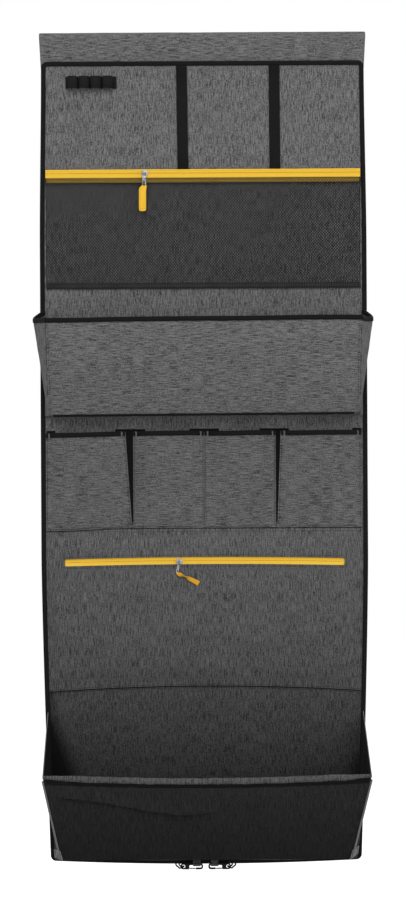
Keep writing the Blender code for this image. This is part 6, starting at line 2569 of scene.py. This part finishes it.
    def pipings(self) -> None:
        """Makes the piping down each side of the front, with the flange that holds it."""
        for side, name in SIDES:
            line = []
            for s in steps(60):
                x, y, z = self.front_place(0.5 + side / 2, 0.01 + 0.93 * s)
                line.append(Vector((x + side * (0.0003 + 0.00015 * ripple(0, z, 0.02, 2.0)), y - self.piping / 2, z)))
            self.dress(tube(f"piping_{name}", line, self.piping, 12), PIPING, f"bin_piping_{name}", "bin_front",
                angle=60)

    def patches(self) -> None:
        """Makes the gray corner patches at the front's foot."""
        rows = []
        for side, name in SIDES:
            def place(u: float, v: float, side: int = side) -> Spot:
                """Returns the point at u and v."""
                away = self.patch_width * ((u if side < 0 else 1 - u) - 0.76) * (0.8 + 0.2 * v)
                z_share = 1 - (self.patch_height / (self.front_top - self.front_foot)) * (1 - v)
                half, skew = mix(self.top_width, self.foot_width, z_share) / 2, 0.1 if side < 0 else 0.45
                x, y, z = self.front_place(0.5 + side * (0.5 - max(away, 0.0) / half / 2), min(z_share, 0.995))
                return x - side * min(away, 0.0), y - 0.0009 - min(away, 0.0) * 1.2, z - away * skew

            self.cloth(f"cloth_bin_patch_{name}", (10, 14), place, PATCH, held="stretched", body="bin_front",
                wall=0.0007, rim=(0.0002, 1))
            corners = ((0.15, 0.1), (0.15, 0.9), (0.85, 0.9), (0.85, 0.1), (0.15, 0.1))
            rows.append([laid(place(u, v)) for u, v in corners])
        self.dress(Thread(pitch=0.0022, length=0.0017).sew("stitch_bin_patch", rows), BLACK_THREAD, body="bin_front")


# ---- snap hooks


@dataclass
class SnapHook(Sewn):
    """One snap hook on its parking tab, with a sprung gate and the cord through its eye."""

    name: str
    side: int
    inner_x: float
    length: float = 0.0312
    height: float = 0.0081
    wire: float = 0.0023
    eye_hole: float = 0.0048
    oval: float = 0.0168
    gate_length: float = 0.0083
    gate_inset: float = 0.0105
    tab_width: float = 0.0105
    ribbon: float = 0.0009
    sewn: float = 0.0050
    on_binding: float = 0.0014
    cord: float = 0.0011
    lift: float = 0.0018

    @property
    def clear(self) -> float:
        """Returns the radius of the tab's hole."""
        return self.wire / math.sqrt(2) + GAP

    @property
    def middle(self) -> float:
        """Returns the depth of the hook's middle."""
        return self.on_binding + self.clear + self.ribbon

    @property
    def bar_z(self) -> float:
        """Returns the height of the bar in the tab."""
        return OUTLINE.foot_z(0) - GAP - self.wire / 2 + self.lift

    @property
    def eye(self) -> tuple[float, float]:
        """Returns the middle of the eye, as (x, z).

        Returns:
            The two places.
        """
        outer = self.inner_x + self.side * self.length
        top = self.bar_z + self.wire / 2
        return outer - self.side * (self.eye_hole / 2 + self.wire * 0.75), top - self.height / 2

    def span(self, start: float, end: float) -> tuple[float, float]:
        """Returns two X places in order, given as distances from the hook's inner end."""
        ends = (self.inner_x + self.side * start, self.inner_x + self.side * end)
        return min(ends), max(ends)

    def build(self) -> None:
        """Builds the hook, its gate and its parking tab."""
        top = self.bar_z + self.wire / 2
        foot = top - self.height
        near, far = level(self.middle + self.wire / 2), level(self.middle - self.wire / 2)
        low, high = self.span(0, self.length)
        body = block(f"hook_body_{self.name}", (low, near, foot), (high, far, top))
        bevel_along(body, 1, self.height / 2 - GAP, 10)
        low, high = self.span(self.wire, self.wire + self.oval)
        oval = block("oval", (low, near - 0.01, foot + self.wire), (high, far + 0.01, top - self.wire))
        bevel_along(oval, 1, self.height / 2 - self.wire - 0.0001, 8)
        eye_x, eye_z = self.eye
        hole = block("hole", (eye_x - self.eye_hole / 2, near - 0.01, eye_z - self.eye_hole / 2),
            (eye_x + self.eye_hole / 2, far + 0.01, eye_z + self.eye_hole / 2))
        bevel_along(hole, 1, self.eye_hole / 2 - 0.0001, 8)
        gate_top = foot + self.wire
        low, high = self.span(self.gate_inset - GAP, self.gate_inset + self.gate_length + GAP)
        mouth = block("mouth", (low, near - 0.01, foot - 0.01), (high, far + 0.01, gate_top + GAP))
        cut(body, [oval, hole, mouth])
        soften(body, 0.00045, 3, 40)
        self.dress(body, HOOK, f"hook_{self.name}", f"hook_{self.name}", angle=35)
        low, high = self.span(self.gate_inset, self.gate_inset + self.gate_length)
        gate = block(f"hook_gate_body_{self.name}", (low, near + GAP, foot + GAP), (high, far - GAP, gate_top - GAP))
        bevel_along(gate, 1, (self.wire - 2 * GAP) / 2 - 0.0001, 5)
        grips = []
        for n in range(3):
            x = mix(low, high, 0.35 + 0.15 * n)
            grips.append(block("grip", (x - 0.0002, near, foot), (x + 0.0002, near + GAP + 0.0002, gate_top)))
        cut(gate, grips)
        soften(gate, 0.0002, 2, 40)
        self.dress(gate, GATE, f"hook_gate_{self.name}", f"gate_{self.name}", angle=35)
        self.parking_tab()

    def parking_tab(self) -> None:
        """Makes the ribbon round the hook's bar, sewn to the panel's foot."""
        x = self.inner_x + self.side * (self.wire * 1.5 + self.tab_width / 2)
        full = self.clear + self.ribbon
        rings = []
        for n in range(32):
            turn = 2 * math.pi * n / 32
            rise = self.sewn * ease((math.sin(turn) - 0.80) / 0.16)
            shrink = 1 - 0.35 * ease((math.sin(turn) - 0.80) / 0.16)
            inner = (self.clear * math.cos(turn), self.clear * math.sin(turn))
            outer = (full * math.cos(turn) * shrink, full * math.sin(turn) + rise)
            ring = []
            for across, (out, up) in ((-1, inner), (1, inner), (1, outer), (-1, outer)):
                ring.append(Vector((x + across * self.tab_width / 2, level(self.middle) + out, self.bar_z + up)))
            rings.append(ring)
        obj = skin(f"ribbon_parking_tab_{self.name}", rings, closed=True)
        soften(obj, 0.00015, 1, 70)
        self.dress(obj, PARKING, f"parking_tab_{self.name}", "", angle=50)
        level(self.middle)
        self.bar_z + full + 0.0026
        level(self.middle)
        self.bar_z + self.wire / 2
        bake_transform(obj)
        y = level(self.middle + full * 0.7)
        row = [Vector((x + (self.tab_width / 2 - 0.001) * (2 * s - 1), y, self.bar_z + full + 0.0026))
            for s in steps(8)]
        self.dress(Thread(pitch=0.0018, length=0.0015).sew(f"stitch_parking_tab_{self.name}", [row]), BLACK_THREAD)

    def route(self) -> list[Vector]:
        """Returns the cord's middle line through the hook's eye.

        Returns:
            The line's points.
        """
        eye_x, eye_z = self.eye
        eye_y, side = level(self.middle), self.side
        back = BOARD_BACK_Y + GAP + 0.0008 + GAP + self.cord
        reach = self.eye_hole * 1.6
        low = eye_z - self.cord / 2
        sewn = OUTLINE.foot_z(eye_x) + OUTLINE.binding
        spots = [(eye_x + side * reach, back, sewn), (eye_x + side * reach, back, low + self.eye_hole * 2),
            (eye_x + side * reach * 0.75, back - self.cord, low + self.cord * 0.5),
            (eye_x + side * reach * 0.3, (back + eye_y) / 2, low - self.cord * 0.5),
            (eye_x, eye_y + self.wire, eye_z), (eye_x, eye_y - self.wire, eye_z),
            (eye_x + side * self.eye_hole * 1.1, eye_y - self.wire, eye_z - self.eye_hole * 0.4),
            (eye_x + side * reach * 0.95, (back + eye_y) / 2, low - self.cord),
            (eye_x + side * reach * 1.35, back - self.cord, low + self.cord * 0.5),
            (eye_x + side * reach * 1.45, back, low + self.eye_hole * 2), (eye_x + side * reach * 1.45, back, sewn)]
        return smooth([Vector(spot) for spot in spots], 3)

    def cord_loop(self) -> None:
        """Makes the short cord through the hook's eye, sewn behind the panel's foot at both ends."""
        points = self.route()
        obj = self.dress(tube(f"cord_{self.name}", points, self.cord, 10), CORD, f"cord_loop_{self.name}", "")
        eye_x, eye_z = self.eye
        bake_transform(obj)
        length = sum((b - a).length for a, b in zip(points, points[1:]))
        tuple(points[0])
        [tuple(point) for point in points]


# ---- studio


@dataclass(frozen=True)
class Paper:
    """The white floor, which shows white to the camera and keeps the object's shadow."""

    name: str = "white floor"
    colour: Colour = (0.60, 0.60, 0.60)
    glow: float = 0.60

    def make(self) -> bpy.types.Material:
        """Makes the material.

        Returns:
            The new material.
        """
        nodes = Nodes(bpy.data.materials.new(self.name))
        speckle = nodes.noise(nodes.coords(Source.PLACE), 60.0, 3.0)
        nodes.settle(nodes.tint(speckle, 0.3, 0.7, self.colour, 0.985, 1.0), 0.9)
        nodes.shader.inputs["Emission Color"].default_value = (1, 1, 1, 1)
        nodes.feed(nodes.shader.inputs["Emission Strength"], nodes.sum("MULTIPLY", nodes.shown(), self.glow))
        return nodes.owner


@dataclass
class Studio:
    """The camera, the white room and its soft lamps."""

    distance: float = 2.611
    camera_x: float = -0.0017
    camera_z: float = -0.5554
    roll: float = 0.0052
    lens: float = 75.4
    floor_z: float = -1.42
    world_light: float = 0.64

    def camera(self) -> None:
        """Sets the camera at the photograph's place."""
        data = bpy.data.cameras.new("camera")
        data.lens = self.lens
        data.sensor_width = 36.0
        camera = bpy.data.objects.new("camera", data)
        bpy.context.collection.objects.link(camera)
        camera.location = (self.camera_x, -self.distance, self.camera_z)
        camera.rotation_euler = (math.pi / 2, self.roll, 0)
        bpy.context.scene.camera = camera

    def room(self) -> None:
        """Lays the floor and makes the world white behind the object."""
        bpy.ops.object.select_all(action="DESELECT")
        bpy.ops.mesh.primitive_plane_add(size=12, location=(0, 0, 0))
        floor = bpy.context.object
        floor.name = "floor"
        for point in floor.data.vertices:
            point.co.z = self.floor_z
        floor.data.materials.append(Paper().make())
        nodes = Nodes(bpy.data.worlds.new("white room"))
        bpy.context.scene.world = nodes.owner
        nodes.shader.inputs["Color"].default_value = (1, 1, 1, 1)
        nodes.feed(nodes.shader.inputs["Strength"], nodes.remap(nodes.shown(), 0.0, 1.0, self.world_light, 1.0))

    def lamp(self, name: str, place: Sequence[float], aim: Sequence[float], size: float, power: float) -> None:
        """Adds a soft square lamp that looks at a point.

        Args:
            name: The lamp's name.
            place: Where it stands.
            aim: The point that it looks at.
            size: Its side, in metres.
            power: Its power, in watts.
        """
        data = bpy.data.lights.new(name, "AREA")
        data.shape = "SQUARE"
        data.size = size
        data.energy = power
        lamp = bpy.data.objects.new(name, data)
        bpy.context.collection.objects.link(lamp)
        lamp.location = place
        lamp.rotation_euler = (Vector(aim) - Vector(place)).to_track_quat("-Z", "Y").to_euler()

    def lights(self) -> None:
        """Sets the lamps: one high in front, one from the right, and one behind."""
        middle = (0, 0, -0.55)
        self.lamp("key", (-0.5, -2.2, 1.5), middle, 1.6, 41)
        self.lamp("fill", (1.8, -2.0, -0.3), middle, 1.6, 14)
        self.lamp("back", (0.3, 2.2, 0.9), middle, 1.8, 26)

    def build(self) -> None:
        """Builds the room and the lamps, and sets plain colours."""
        self.room()
        self.lights()
        bpy.context.scene.view_settings.view_transform = "Standard"


# ---- all of it


def main() -> None:
    """Builds the organizer's pieces from its sleeve down to its hooks."""
    logging.basicConfig(level=logging.INFO, format="%(message)s")
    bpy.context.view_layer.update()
    studio = Studio()
    studio.camera()
    hooks = (SnapHook("left", -1, -0.0044), SnapHook("right", 1, 0.0026))
    for hook in hooks:
        hook.cord_loop()
    for piece in (PoleSleeve(), Panel(), Straps(), ElasticLoops(), TopZip(), MeshPocket(), ShelfPocket(), PocketRow(),
            LowerPanel(), WindowZip(), Bin(), *hooks):
        piece.build()
        log.info("built %s", type(piece).__name__)
    studio.build()


if __name__ == "__main__":
    main()
